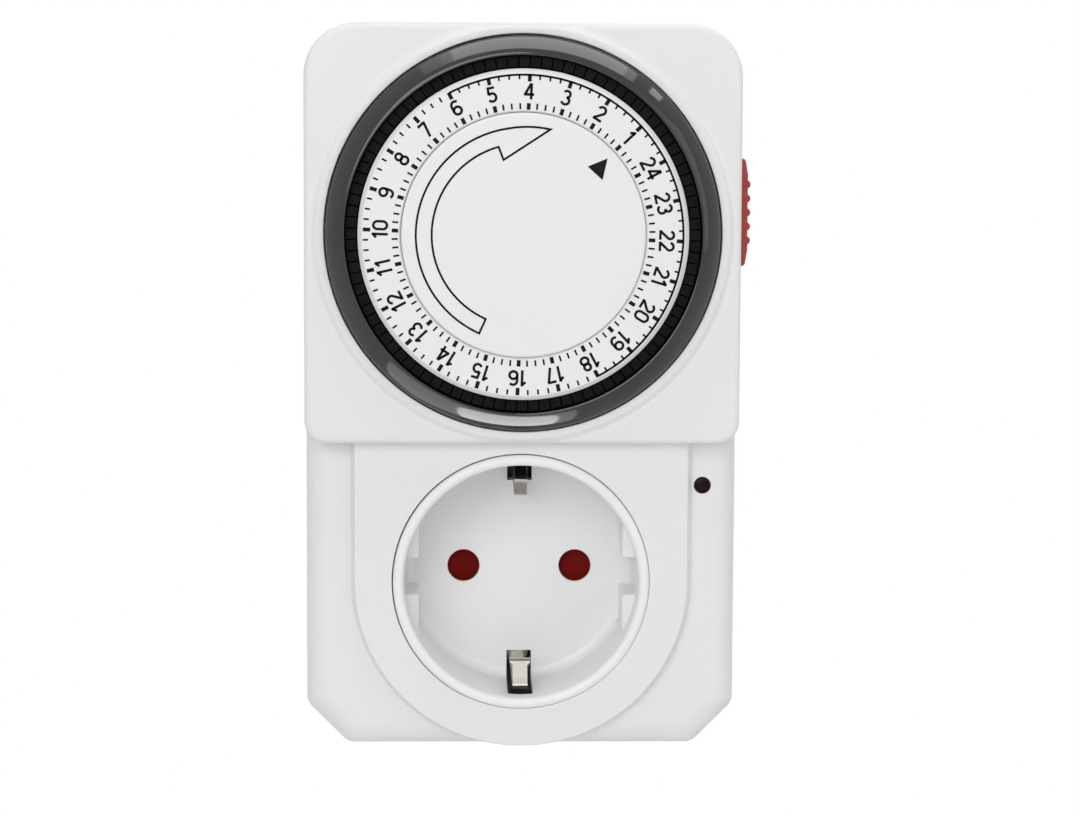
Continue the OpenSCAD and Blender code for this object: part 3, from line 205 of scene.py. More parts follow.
class TimerColours(PropertyGroup):
    """One colour for each finish."""
    cover: colour("Covers", "White plastic of both covers", (0.78, 0.78, 0.785))
    insert: colour("Socket insert", "White plastic of the socket insert", (0.85, 0.85, 0.855))
    disc: colour("Discs", "White plastic of the scale and centre discs", (0.8, 0.8, 0.81))
    ring: colour("Dial ring", "Glossy dark plastic of the dial ring", (0.012, 0.012, 0.013))
    tappet: colour("Tappets", "Matt black plastic of the tappets and the dial wheel", (0.005, 0.005, 0.005))
    slider: colour("Slider", "Red plastic of the override slider", (0.38, 0.035, 0.028))
    shutter: colour("Shutter", "Dark red plastic of the safety shutter", (0.17, 0.005, 0.004))
    lens: colour("Indicator lens", "Dark red plastic of the indicator lens", (0.014, 0.002, 0.003))
    gear: colour("Gears", "Ivory plastic of the gears and plates", (0.66, 0.62, 0.5))
    moulding: colour("Mouldings", "Dark moulding of the carriers and the switch base", (0.035, 0.032, 0.03))
    ink: colour("Print", "Black print on the discs", (0.003, 0.003, 0.0035))
    nickel: colour("Nickel", "Nickel plate of the pins, clips and screws", (0.62, 0.6, 0.56))
    steel: colour("Steel", "Zinc plated steel of the motor can and springs", (0.52, 0.53, 0.54))
    brass: colour("Brass", "Brass of the bus bars and contacts", (0.62, 0.42, 0.16))
    magnet: colour("Magnet", "Ferrite of the motor's rotor", (0.03, 0.03, 0.035))
    winding: colour("Winding", "Enamelled copper of the motor winding", (0.45, 0.16, 0.06))
    glass: colour("Lamp glass", "Tinted glass of the neon lamp", (0.95, 0.72, 0.55))
    resistor: colour("Resistor", "Lacquer of the lamp's resistor", (0.5, 0.33, 0.16))
    wire: colour("Wire", "Insulation of the motor's leads", (0.1, 0.12, 0.4))


class TimerStage(PropertyGroup):
    """Floor, camera and lights."""
    floor: length("Floor", "Distance from the socket axis down to the floor", 300)
    lens: FloatProperty(name="Lens", description="Focal length on a 36 mm sensor", default=113.95,
                        unit="CAMERA")
    ambient: FloatProperty(name="Ambient", description="Strength of the even light all round",
                           default=0.46)
    key: power("Key light", "Power of the large soft light", 6.5)
    fill: power("Fill light", "Power of the fill light", 1.5)
    top: power("Top light", "Power of the light overhead", 4.0)
    ring: power("Ring lights", "Power of the strips that show in the dial ring", 4.8)
    rear: power("Rear light", "Power of the light behind", 3.0)


GROUPS = {
    "timer_case": TimerCase,
    "timer_socket": TimerSocket,
    "timer_dial": TimerDial,
    "timer_slider": TimerSlider,
    "timer_colours": TimerColours,
    "timer_stage": TimerStage,
}


# ---- outlines ----

class Outline:
    """A convex outline with rounded corners. It knows its inset copies and how deep a point lies in it."""

    def __init__(self, corners):
        self.sides = []
        self.bends = []
        count = len(corners)
        points = [Vector(c[:2]) for c in corners]
        for i in range(count):
            here, after = points[i], points[(i + 1) % count]
            along = (after - here).normalized()
            self.sides.append((here, Vector((-along.y, along.x))))
        for i in range(count):
            before, after = self.sides[i - 1][1], self.sides[i][1]
            radius = corners[i][2]
            middle = points[i] + (before + after) * (radius / (1 + before.dot(after)))
            self.bends.append((middle, radius, -before, -after))

    def depth(self, x, y):
        """Distance from a point to the outline, above zero inside it."""
        point = Vector((x, y))
        for middle, radius, start, end in self.bends:
            arm = point - middle
            if cross(start, arm) > 0 and cross(arm, end) > 0 and arm.dot(start + end) > 0:
                return radius - arm.length
        return min((point - here).dot(inward) for here, inward in self.sides)

    def ring(self, inset, spacing=2.0, step=7.5, marks=()):
        """The outline moved inward, as a closed list of points."""
        points = []
        count = len(self.bends)
        for i, (middle, radius, start, end) in enumerate(self.bends):
            sweep = start.angle(end)
            parts = max(1, math.ceil(math.degrees(sweep) / step))
            for k in range(parts + 1):
                turned = start.copy()
                turned.rotate(Matrix.Rotation(sweep * k / parts, 2))
                points.append(middle + turned * (radius - inset))
            there, after_radius, after_start, _ = self.bends[(i + 1) % count]
            goal = there + after_start * (after_radius - inset)
            run = goal - points[-1]
            parts = max(1, math.ceil(run.length / spacing))
            from_point = points[-1]
            stops = {k / parts for k in range(1, parts)}
            for mark in marks:
                share = (Vector(mark) - from_point).dot(run) / run.length_squared
                if 0 < share < 1 and (from_point + run * share - Vector(mark)).length < 0.001:
                    stops.add(share)
            points += [from_point + run * share for share in sorted(stops)]
        return points


def cross(a, b):
    """The height of two flat vectors' cross product."""
    return a.x * b.y - a.y * b.x


def away(x, y, spot):
    """Distance of a point from a spot."""
    return math.hypot(x - spot[0], y - spot[1])


def arc(middle, across, start, end, parts, up=None):
    """Points of an arc from one angle to another, anticlockwise from the right, or of an oval's arc."""
    up = across if up is None else up
    turns = [start + (end - start) * i / parts for i in range(parts + 1)]
    return [(middle[0] + across * math.cos(a), middle[1] + up * math.sin(a)) for a in turns]


def circle(middle, radius, count):
    """Points of a circle, anticlockwise from its right-hand side."""
    turn = 2 * math.pi / count
    return [Vector((middle[0] + radius * math.cos(i * turn), middle[1] + radius * math.sin(i * turn)))
            for i in range(count)]


def runs(points, keep, closed=True):
    """The stretches of a line of points that pass a test, each with whether it is still closed."""
    if all(keep(p.x, p.y) for p in points):
        return [(points, closed)]
    if closed:
        first = next(i for i, p in enumerate(points) if not keep(p.x, p.y))
        points = points[first:] + points[:first]
    found, stretch = [], []
    for p in points:
        if keep(p.x, p.y):
            stretch.append(p)
        elif stretch:
            found.append((stretch, False))
            stretch = []
    if stretch:
        found.append((stretch, False))
    return [run for run in found if len(run[0]) > 1]


def rounding(depth, radius):
    """How far a rounded edge falls below its face at a depth inside the outline."""
    if depth >= radius:
        return 0.0
    side = radius - max(depth, 0.0)
    return radius - math.sqrt(max(radius * radius - side * side, 0.0))


def edge_insets(radius, parts=6):
    """Insets at which a rounded edge is cut, one for each equal turn."""
    return [radius * (1 - math.cos(math.pi / 2 * i / parts)) for i in range(parts + 1)]


def soft_step(value, low, high):
    """0 below low, 1 above high, and an even S between them."""
    share = min(1.0, max(0.0, (value - low) / (high - low)))
    return share * share * (3 - 2 * share)


# ---- mesh building ----

def surface(bm, lines, keep, height):
    """Fills the plane between lines of points, lifts it to its heights, and returns its open loops."""
    points, edges = [], []
    for line, closed in lines:
        first, count = len(points), len(line)
        points += [Vector(p) for p in line]
        edges += [(first + i, first + (i + 1) % count) for i in range(count if closed else count - 1)]
    flat, _, triangles, _, _, _ = delaunay_2d_cdt(points, edges, [], 0, 1e-4)
    made = {}
    faces = []
    for triangle in triangles:
        middle = sum((flat[i] for i in triangle), Vector((0, 0))) / 3
        if not keep(middle.x, middle.y):
            continue
        corners = []
        for i in triangle:
            if i not in made:
                made[i] = bm.verts.new((flat[i].x, flat[i].y, height(flat[i].x, flat[i].y)))
            corners.append(made[i])
        faces.append(bm.faces.new(corners))
    return open_loops(dict.fromkeys(e for f in faces for e in f.edges))


def open_loops(edges):
    """Chains the edges that have one face into closed loops of vertices."""
    border = [e for e in edges if len(e.link_faces) == 1]
    beside = {}
    for e in border:
        for v in e.verts:
            beside.setdefault(v, []).append(e)
    loops, used = [], set()
    for e in border:
        if e in used:
            continue
        loop, v = [e.verts[0]], e.verts[1]
        used.add(e)
        while v is not loop[0]:
            loop.append(v)
            e = next(x for x in beside[v] if x not in used)
            used.add(e)
            v = e.other_vert(v)
        loops.append(loop)
    return loops


def round_loop(loops, middle, radius):
    """The loop that runs along a circle."""
    spot = Vector(middle)
    for loop in loops:
        if all(abs((v.co.xy - spot).length - radius) < 0.02 for v in loop):
            return loop
    raise RuntimeError(f"no open loop of radius {radius} round {tuple(spot)}")


def sort_loops(loops, holes):
    """The loops of round holes, each given by its middle, radius and parts, and the border's loop."""
    found = [round_loop(loops, middle, radius) for middle, radius, _ in holes]
    return found, next(loop for loop in loops if loop not in found)


def clear_of(holes):
    """A test for points outside round holes, each given by its middle, radius and parts."""
    return lambda x, y: all(away(x, y, middle) > radius for middle, radius, _ in holes)


def wall(bm, loop, rows, skip=None):
    """Runs a wall from a loop through rows. A row is a height, or turns a point into the next one."""
    for number, row in enumerate(rows):
        if callable(row):
            after = [bm.verts.new(row(v.co.copy())) for v in loop]
        else:
            after = [bm.verts.new((v.co.x, v.co.y, row)) for v in loop]
        for i, v in enumerate(loop):
            k = (i + 1) % len(loop)
            if skip is None or not skip(number, v.co, loop[k].co):
                bm.faces.new((v, loop[k], after[k], after[i]))
        loop = after
    return loop


def loop_edges(bm, *loops):
    """The edges along loops of vertices, made where they aren't there yet."""
    return [bm.edges.get((loop[i - 1], loop[i])) or bm.edges.new((loop[i - 1], loop[i]))
            for loop in loops for i in range(len(loop))]


def bridge(bm, *loops):
    """Joins two loops with a band of faces."""
    bmesh.ops.bridge_loops(bm, edges=loop_edges(bm, *loops))


def fill(bm, *loops):
    """Fills a flat loop, leaving the loops inside it open."""
    bmesh.ops.triangle_fill(bm, use_beauty=True, use_dissolve=False, edges=loop_edges(bm, *loops))


def revolve(bm, profile, segments, middle=(0, 0), closed=True):
    """Turns a profile of radius and height round an axis out of the wall."""
    columns = []
    for radius, height in profile:
        if radius < 1e-6:
            columns.append([bm.verts.new((*middle, height))] * segments)
        else:
            columns.append([bm.verts.new((*p, height)) for p in circle(middle, radius, segments)])
    for low, high in zip(columns, columns[1:] + (columns[:1] if closed else [])):
        for i in range(segments):
            k = (i + 1) % segments
            corners = list(dict.fromkeys((low[i], low[k], high[k], high[i])))
            if len(corners) > 2:
                bm.faces.new(corners)


def prism(bm, outline, low, high, move=None):
    """A solid with the given outline in X and Y, between two heights."""
    bottom = [bm.verts.new((x, y, low)) for x, y in outline]
    top = [bm.verts.new((x, y, high)) for x, y in outline]
    bm.faces.new(bottom)
    bm.faces.new(top)
    for i in range(len(outline)):
        bm.faces.new((bottom[i - 1], bottom[i], top[i], top[i - 1]))
    if move:
        for v in bottom + top:
            v.co = move @ v.co


def block(bm, x, y, z):
    """A box between two corners."""
    prism(bm, [(x[0], y[0]), (x[1], y[0]), (x[1], y[1]), (x[0], y[1])], z[0], z[1])


def rounded_block(bm, x, y, z, radius, parts):
    """A box with rounded edges."""
    own = bmesh.new()
    block(own, x, y, z)
    bmesh.ops.recalc_face_normals(own, faces=own.faces)
    bmesh.ops.bevel(own, geom=own.edges[:], offset=radius, segments=parts, profile=0.5, affect="EDGES")
    add_copy(bm, own)


def bar(bm, sections, closed=False):
    """Joins sections of four corners into a bar, which has ends unless it is closed."""
    for i in range(0 if closed else 1, len(sections)):
        low, high = sections[i - 1], sections[i]
        for k in range(4):
            bm.faces.new((low[k - 1], low[k], high[k], high[k - 1]))
    if not closed:
        bm.faces.new(sections[0])
        bm.faces.new(sections[-1])


def add_copy(bm, other, move=None):
    """Copies another mesh into this one, and frees it."""
    if move:
        other.transform(move)
    made = [bm.verts.new(v.co) for v in other.verts]
    other.verts.index_update()
    for f in other.faces:
        bm.faces.new([made[v.index] for v in f.verts])
    other.free()


def outward(bm):
    """Turns the faces of every closed shell outward."""
    bmesh.ops.recalc_face_normals(bm, faces=bm.faces)
    seen = set()
    for start in bm.faces:
        if start in seen:
            continue
        seen.add(start)
        shell, todo = [], [start]
        while todo:
            face = todo.pop()
            shell.append(face)
            for other in (f for e in face.edges for f in e.link_faces):
                if other not in seen:
                    seen.add(other)
                    todo.append(other)
        volume = 0.0
        for face in shell:
            first = face.verts[0].co
            for a, b in zip(face.verts[1:], face.verts[2:]):
                volume += first.dot(a.co.cross(b.co))
        if volume < 0:
            bmesh.ops.reverse_faces(bm, faces=shell)


def put_in_scene(name, data):
    """Makes an object from its data, and puts it in the scene."""
    made = bpy.data.objects.new(name, data)
    bpy.context.scene.collection.objects.link(made)
    return made


def new_object(name, bm):
    """Makes an object from a mesh drawn in millimetres."""
    loose = [v for v in bm.verts if not v.link_faces]
    bmesh.ops.delete(bm, geom=loose, context="VERTS")
    outward(bm)
    bm.transform(STAND)
    mesh = bpy.data.meshes.new(name)
    bm.to_mesh(mesh)
    bm.free()
    return put_in_scene(name, mesh)


def combine(first, second, operation):
    """Joins a second mesh to the first, or cuts it out of it."""
    parts = []
    for bm in (first, second):
        outward(bm)
        mesh = bpy.data.meshes.new("part")
        bm.to_mesh(mesh)
        bm.free()
        parts.append(put_in_scene("part", mesh))
    step = parts[0].modifiers.new("Combine", "BOOLEAN")
    step.operation = operation
    step.solver = "FAST"
    step.object = parts[1]
    bpy.context.view_layer.update()
    shape = bpy.data.meshes.new_from_object(
        parts[0].evaluated_get(bpy.context.evaluated_depsgraph_get()))
    joined = bmesh.new()
    joined.from_mesh(shape)
    bpy.data.meshes.remove(shape)
    for made in parts:
        mesh = made.data
        bpy.data.objects.remove(made, do_unlink=True)
        bpy.data.meshes.remove(mesh)
    if not joined.faces or any(len(e.link_faces) != 2 for e in joined.edges):
        raise RuntimeError(f"the {operation.lower()} didn't give a closed solid")
    return joined


def smooth(made, angle=32.0):
    """Shades an object smooth between its sharp edges."""
    made.data.shade_smooth()
    made.data.set_sharp_from_angle(angle=math.radians(angle))
    step = made.modifiers.new("Even normals", "WEIGHTED_NORMAL")
    step.keep_sharp = True
    return made


def soften(made, width, angle, harden):
    """Rounds an object's edges that are sharper than an angle, by a width in millimetres."""
    step = made.modifiers.new("Soft edges", "BEVEL")
    step.width = width * MM
    step.segments = 2
    step.limit_method = "ANGLE"
    step.angle_limit = math.radians(angle)
    step.harden_normals = harden


def dress(made, material, body, nodes=()):
    """Gives a piece its material and body, and hides the frame nodes that it stands for."""
    made.data.materials.clear()
    made.data.materials.append(material)
    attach(made, body)
    if nodes:
        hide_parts(*nodes)


def dress_nodes(material, *nodes, bevel=0.0):
    """Gives frame nodes a material, and softens their edges."""
    for name in nodes:
        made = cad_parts[name]
        made.data.materials.clear()
        made.data.materials.append(material)
        for polygon in made.data.polygons:
            polygon.material_index = 0
        if bevel:
            soften(made, bevel, 40, True)


# ---- materials ----

class Graph:
    """Builds one material's nodes."""

    def __init__(self, name):
        self.material = bpy.data.materials.new(name)
        self.material.use_nodes = True
        self.tree = self.material.node_tree
        self.shader = next(n for n in self.tree.nodes if n.type == "BSDF_PRINCIPLED")
        self.place = self.add("ShaderNodeTexCoord").outputs["Object"]

    def add(self, kind, **values):
        """Adds a node."""
        made = self.tree.nodes.new(kind)
        for key, value in values.items():
            setattr(made, key, value)
        return made

    def link(self, output, target):
        """Links one socket to another."""
        self.tree.links.new(output, target)

    def noise(self, size, detail, stretch=None):
        """Noise whose grain is about the given size in millimetres."""
        source = self.place
        if stretch:
            mapping = self.add("ShaderNodeMapping")
            mapping.inputs["Scale"].default_value = stretch
            self.link(source, mapping.inputs["Vector"])
            source = mapping.outputs["Vector"]
        made = self.add("ShaderNodeTexNoise")
        made.inputs["Scale"].default_value = 1 / (size * MM)
        made.inputs["Detail"].default_value = detail
        made.inputs["Roughness"].default_value = 0.55
        self.link(source, made.inputs["Vector"])
        return made.outputs["Fac"]

    def remap(self, value, before, after=(0, 1), kind="LINEAR"):
        """Turns one range of a value into another."""
        made = self.add("ShaderNodeMapRange", interpolation_type=kind)
        for key, number in zip(("From Min", "From Max", "To Min", "To Max"), (*before, *after)):
            made.inputs[key].default_value = number
        self.link(value, made.inputs["Value"])
        return made.outputs["Result"]

    def spread(self, value, low, high):
        """Spreads a noise's middle range between two numbers."""
        return self.remap(value, (0.3, 0.7), (low, high))

    def calculate(self, operation, first, second):
        """What a math node makes of two sockets."""
        made = self.add("ShaderNodeMath", operation=operation)
        self.link(first, made.inputs[0])
        self.link(second, made.inputs[1])
        return made.outputs[0]

    def blend(self, share, first, second):
        """Blends two colours, given as values or sockets."""
        made = self.add("ShaderNodeMix", data_type="RGBA")
        self.link(share, made.inputs["Factor"])
        for socket, value in ((made.inputs[6], first), (made.inputs[7], second)):
            if isinstance(value, bpy.types.NodeSocket):
                self.link(value, socket)
            else:
                socket.default_value = (*value, 1)
        return made.outputs[2]

    def paint(self, tint, roughness):
        """Gives the shader its colour and roughness from sockets."""
        self.link(tint, self.shader.inputs["Base Color"])
        self.link(roughness, self.shader.inputs["Roughness"])

    def bump(self, layers):
        """Stacks bumps, each a height socket with a depth in millimetres and a strength."""
        normal = None
        for height, depth, strength in layers:
            made = self.add("ShaderNodeBump")
            made.inputs["Strength"].default_value = strength
            made.inputs["Distance"].default_value = depth * MM
            self.link(height, made.inputs["Height"])
            if normal is not None:
                self.link(normal, made.inputs["Normal"])
            normal = made.outputs["Normal"]
        self.link(normal, self.shader.inputs["Normal"])

    def set(self, values):
        """Sets the shader's own sockets."""
        for key, value in values.items():
            self.shader.inputs[key].default_value = value


def shade(base, factor):
    """A colour made lighter or darker."""
    return tuple(min(1.0, c * factor) for c in base)


def moulded(name, base, rough, grain, depth, mottle, clouds, values=None):
    """Moulded plastic: a fine spark-eroded grain, faint flow clouds and an uneven sheen."""
    g = Graph(name)
    flow = g.noise(clouds, 4.0, stretch=(1, 1, 0.6))
    fine = g.noise(grain, 2.0)
    speck = g.noise(grain * 6, 3.0)
    tint = g.blend(g.spread(flow, 0, 1), shade(base, 1 - mottle), shade(base, 1 + mottle * 0.5))
    tint = g.blend(g.spread(speck, 0, 0.35), tint, shade(base, 1 - mottle * 1.5))
    g.paint(tint, g.spread(speck, *rough))
    g.bump([(fine, depth, 0.5), (flow, depth * 6, 0.15)])
    g.set(values or {})
    return g.material


def metal(name, base, rough, streak, grain, tarnish, depth):
    """Drawn or rolled metal: fine streaks, a little tarnish and patchy polish."""
    g = Graph(name)
    lines = g.noise(grain, 4.0, stretch=streak)
    patch = g.noise(5.0, 4.0)
    tint = g.blend(g.spread(patch, 0, 1), base, shade(base, 1 - tarnish))
    g.paint(g.blend(g.spread(lines, 0, 0.4), tint, shade(base, 0.75)), g.spread(lines, *rough))
    g.bump([(lines, depth, 0.4)])
    g.set({"Metallic": 1.0})
    return g.material


def wound(name, base, pitch):
    """Enamelled wire in even turns, with painted shade in the grooves between them."""
    g = Graph(name)
    turns = g.add("ShaderNodeTexWave", wave_type="BANDS", bands_direction="Y", wave_profile="SIN")
    turns.inputs["Scale"].default_value = 0.314 / (pitch * MM)
    turns.inputs["Distortion"].default_value = 0.6
    g.link(g.place, turns.inputs["Vector"])
    patch = g.noise(2.5, 3.0)
    tint = g.blend(g.spread(patch, 0, 1), base, shade(base, 0.7))
    # The colour falls to a third of the base in the grooves between the turns: painted shade.
    g.paint(g.blend(turns.outputs["Fac"], shade(base, 0.35), tint), g.spread(patch, 0.22, 0.4))
    g.bump([(turns.outputs["Fac"], pitch * 0.5, 0.8)])
    g.set({"Metallic": 0.6})
    return g.material


def clear(name, base):
    """Tinted glass with a faint ripple."""
    g = Graph(name)
    ripple = g.noise(3.0, 2.0)
    g.paint(g.blend(g.spread(ripple, 0, 1), base, shade(base, 0.9)), g.spread(ripple, 0.02, 0.08))
    g.bump([(ripple, 0.02, 0.3)])
    g.set({"Transmission Weight": 0.9, "IOR": 1.5})
    return g.material


# Each finish's maker and material, then the maker's values. They are, for moulded: the range of the
# roughness, the grain's size and depth, the mottling, the clouds' size and what the shader takes; and
# for metal: the range of the roughness, the streaks' stretch and size, the tarnish and their depth.
FINISHES = {
    "cover": (moulded, "cover_plastic", (0.36, 0.48), 0.4, 0.01, 0.018, 25.0),
    "insert": (moulded, "insert_plastic", (0.3, 0.42), 0.5, 0.008, 0.02, 12.0),
    "disc": (moulded, "disc_plastic", (0.34, 0.46), 0.3, 0.008, 0.015, 20.0),
    "ring": (moulded, "ring_plastic", (0.05, 0.09), 1.6, 0.003, 0.2, 15.0, {"IOR": 1.52}),
    "tappet": (moulded, "tappet_plastic", (0.5, 0.66), 0.3, 0.01, 0.25, 6.0, {"Specular IOR Level": 0.1}),
    "slider": (moulded, "slider_plastic", (0.3, 0.42), 0.3, 0.01, 0.08, 8.0),
    "shutter": (moulded, "shutter_plastic", (0.42, 0.55), 0.4, 0.008, 0.12, 5.0,
                {"Specular IOR Level": 0.06}),
    "lens": (moulded, "lens_plastic", (0.16, 0.28), 0.8, 0.006, 0.15, 3.0, {"Specular IOR Level": 0.1}),
    "gear": (moulded, "gear_plastic", (0.38, 0.5), 0.25, 0.008, 0.05, 5.0),
    "moulding": (moulded, "phenolic_plastic", (0.28, 0.45), 0.5, 0.012, 0.3, 3.0),
    "ink": (moulded, "print_ink", (0.5, 0.65), 0.2, 0.003, 0.25, 1.5, {"Specular IOR Level": 0.15}),
    "nickel": (metal, "nickel_plate", (0.14, 0.26), (6, 1, 1), 1.4, 0.1, 0.003),
    "steel": (metal, "zinc_steel", (0.3, 0.45), (1, 8, 1), 1.2, 0.2, 0.006),
    "brass": (metal, "brass_sheet", (0.22, 0.36), (1, 1, 10), 1.1, 0.25, 0.004),
    "magnet": (moulded, "ferrite", (0.5, 0.65), 0.2, 0.02, 0.3, 2.0),
    "winding": (wound, "copper_winding", 0.22),
    "glass": (clear, "neon_glass"),
    "resistor": (moulded, "resistor_lacquer", (0.3, 0.42), 0.4, 0.02, 0.15, 2.0),
    "wire": (moulded, "wire_insulation", (0.3, 0.42), 0.5, 0.01, 0.1, 4.0),
}


@functools.cache
def finish(name):
    """One of the timer's finishes in its own colour, made when it is first asked for."""
    maker, material, *values = FINISHES[name]
    return maker(material, tuple(getattr(bpy.context.scene.timer_colours, name)), *values)


# ---- the case ----

def case_outline(case):
    """The outline of both covers, seen from the front."""
    x, top, low, cut = case.mm("half_width"), case.mm("top"), -case.mm("drop"), case.mm("cut")
    bend, corner = case.mm("bend"), case.mm("corner")
    return Outline([(-x + cut, low, bend), (x - cut, low, bend), (x, low + cut, bend),
                    (x, top, corner), (-x, top, corner), (-x, low + cut, bend)])


def block_outline(case):
    """The outline of the dial block."""
    x, top, step = case.mm("half_width"), case.mm("top"), case.mm("step")
    low, high = case.mm("block_corner"), case.mm("corner")
    return Outline([(-x, step, low), (x, step, low), (x, top, high), (-x, top, high)])


def boss_depth(case, x, y):
    """Distance inside the U-shaped boss."""
    return case.mm("boss_width") - (abs(x) if y > 0 else math.hypot(x, y))


def boss_line(case, inset):
    """The U-shaped boss's outline moved inward, from its upper right end round to its upper left end."""
    radius, top = case.mm("boss_width") - inset, case.mm("step") + 0.3
    turn = [Vector(p) for p in arc((0, 0), radius, 0, -math.pi, 72)]
    rise = [top * i / 12 for i in range(12, 0, -1)]
    return [Vector((radius, y)) for y in rise] + turn + [Vector((-radius, y)) for y in reversed(rise)]


def build_front_cover(case, dial, socket, slider):
    """The front cover: dial block, collar, lower body and U-shaped boss, over its inner walls."""
    body, raised = case_outline(case), block_outline(case)
    half, tangent = case.mm("half_width"), case.mm("step") + case.mm("block_corner")
    plate, boss, top, joint = case.mm("plate"), case.mm("boss"), case.mm("block"), case.mm("joint")
    soft, block_edge, thick = case.mm("soft"), case.mm("block_edge"), case.mm("wall")
    slope, opening = case.mm("boss_slope"), case.mm("opening")
    collar_outer = opening + case.mm("collar_width")
    draft, dial_edge, hole_edge = 0.12, 0.18, 0.12
    centre = (0, dial.mm("centre"))
    dial_hole = (centre, opening, 288)
    # The socket's hole stands a hair off its axis. The other one is the indicator's.
    holes = [((-0.07, 0.07), socket.mm("well") + socket.mm("wall") + 0.1, 216),
             ((case.mm("lamp_x"), case.mm("lamp_y")), case.mm("lamp_hole"), 48)]

    def height(x, y):
        z = plate - rounding(body.depth(x, y), soft)
        z += (boss - z) * soft_step(boss_depth(case, x, y), -slope / 3, slope * 2 / 3)
        inside = raised.depth(x, y)
        out = away(x, y, centre)
        if inside > -draft:
            face = top - rounding(inside, block_edge)
            z += (face - z) * min(1.0, (inside + draft) / draft)
            z += case.mm("collar") * (1 - soft_step(out, collar_outer - 1, collar_outer + 0.2))
            z -= rounding(out - opening, dial_edge)
        for middle, radius, _ in holes:
            z -= rounding(away(x, y, middle) - radius, hole_edge)
        return z

    spare, slot_half = 0.25, 2.25
    slot_low = slider.mm("middle") - slider.mm("slot") - spare
    slot_high = slider.mm("middle") + slider.mm("slot") + slider.mm("travel") + spare
    slot_back, slot_front = slider.mm("depth") - slot_half, slider.mm("depth") + slot_half
    # The side walls need points at the slider's slot, and where the block's corners run out on them.
    marks = [(half, slot_low), (half, slot_high)]
    near = [(side * half, tangent - 0.2 * i) for side in (-1, 1) for i in range(1, 9)]

    def inside_case(x, y):
        return body.depth(x, y) > LINE_GAP

    lines = []
    for inset in edge_insets(soft):
        line = body.ring(inset, 1.5, 6, near if inset == 0 else ())
        for run, _ in runs(line, lambda x, y: y < tangent - 0.05):
            run = [Vector((-half + inset, tangent))] + run + [Vector((half - inset, tangent))]
            lines.append((run, False))
    for inset in edge_insets(block_edge):
        lines.append((raised.ring(inset, 1.2, 6, marks if inset == 0 else ()), True))
    lines += runs(raised.ring(-draft, 1.2, 6), lambda x, y: y < tangent and inside_case(x, y))
    for i in range(7):
        lines += runs(boss_line(case, slope * (i / 6 - 1 / 3)), inside_case, False)
    rings = [opening + share for share in edge_insets(dial_edge, 4)]
    rings += [collar_outer + share for share in (-1, -0.8, -0.6, -0.4, -0.2, 0, 0.2)]
    for radius in rings:
        lines += runs(circle(centre, radius, 288), inside_case)
    lines += [(circle(middle, radius + share, parts), True)
              for middle, radius, parts in holes for share in edge_insets(hole_edge, 3)]

    bm = bmesh.new()
    loops = surface(bm, lines, clear_of([dial_hole, *holes]), height)
    (dial_loop, *outer_loops), border = sort_loops(loops, [dial_hole, *holes])

    def in_slot(row, a, b):
        """Whether a face between the slot's front and back heights lies in the slot."""
        return row == 1 and min(a.x, b.x) > half - thick - 0.01 and (
            slot_low - 0.01 < min(a.y, b.y) and max(a.y, b.y) < slot_high + 0.01)

    rows = [slot_front, slot_back, joint + JOINT_CUT, lambda p: body_point(body, p, JOINT_CUT, joint)]
    foot = wall(bm, border, rows, in_slot)
    bm.faces.new(wall(bm, dial_loop, [top - 3.5]))

    tub, well_back = opening + 1.2, top - 5

    def inner_height(x, y):
        z = plate - thick
        z += thick * soft_step(boss_depth(case, x, y), thick - 0.2, thick + 0.2)
        z += (top - thick - z) * soft_step(raised.depth(x, y), thick - 0.02, thick + 0.3)
        return z + (well_back - z) * (1 - soft_step(away(x, y, centre), tub - 0.3, tub))

    def inside_walls(x, y):
        return body.depth(x, y) > thick + LINE_GAP

    inner_marks = [(half - thick, slot_low), (half - thick, slot_high)]
    lines = [(body.ring(thick, 3, 10, inner_marks), True)]
    for inset in (thick - 0.2, thick + 0.2):
        lines += runs(boss_line(case, inset), inside_walls, False)
    for inset in (thick + 0.06, thick + 0.3):
        lines += runs(raised.ring(inset, 3, 10), inside_walls)
    for radius in (tub - 0.3, tub):
        lines += runs(circle(centre, radius, 96), inside_walls)
    lines += [(circle(*hole), True) for hole in holes]

    loops = surface(bm, lines, clear_of(holes), inner_height)
    inner_loops, inner_border = sort_loops(loops, holes)
    inner_foot = wall(bm, inner_border, [slot_front, slot_back, joint], in_slot)
    for outer, inner in zip(outer_loops, inner_loops):
        bridge(bm, outer, inner)
    bridge(bm, foot, inner_foot)
    bridge(bm, *open_loops(bm.edges))
    return smooth(new_object("front_cover_shell", bm))


def body_point(outline, point, inset, height):
    """A point of an outline's wall, moved a little inward along the outline's normal."""
    step = 0.01
    across = outline.depth(point.x + step, point.y) - outline.depth(point.x - step, point.y)
    up = outline.depth(point.x, point.y + step) - outline.depth(point.x, point.y - step)
    inward = Vector((across, up)).normalized() * inset
    return Vector((point.x + inward.x, point.y + inward.y, height))


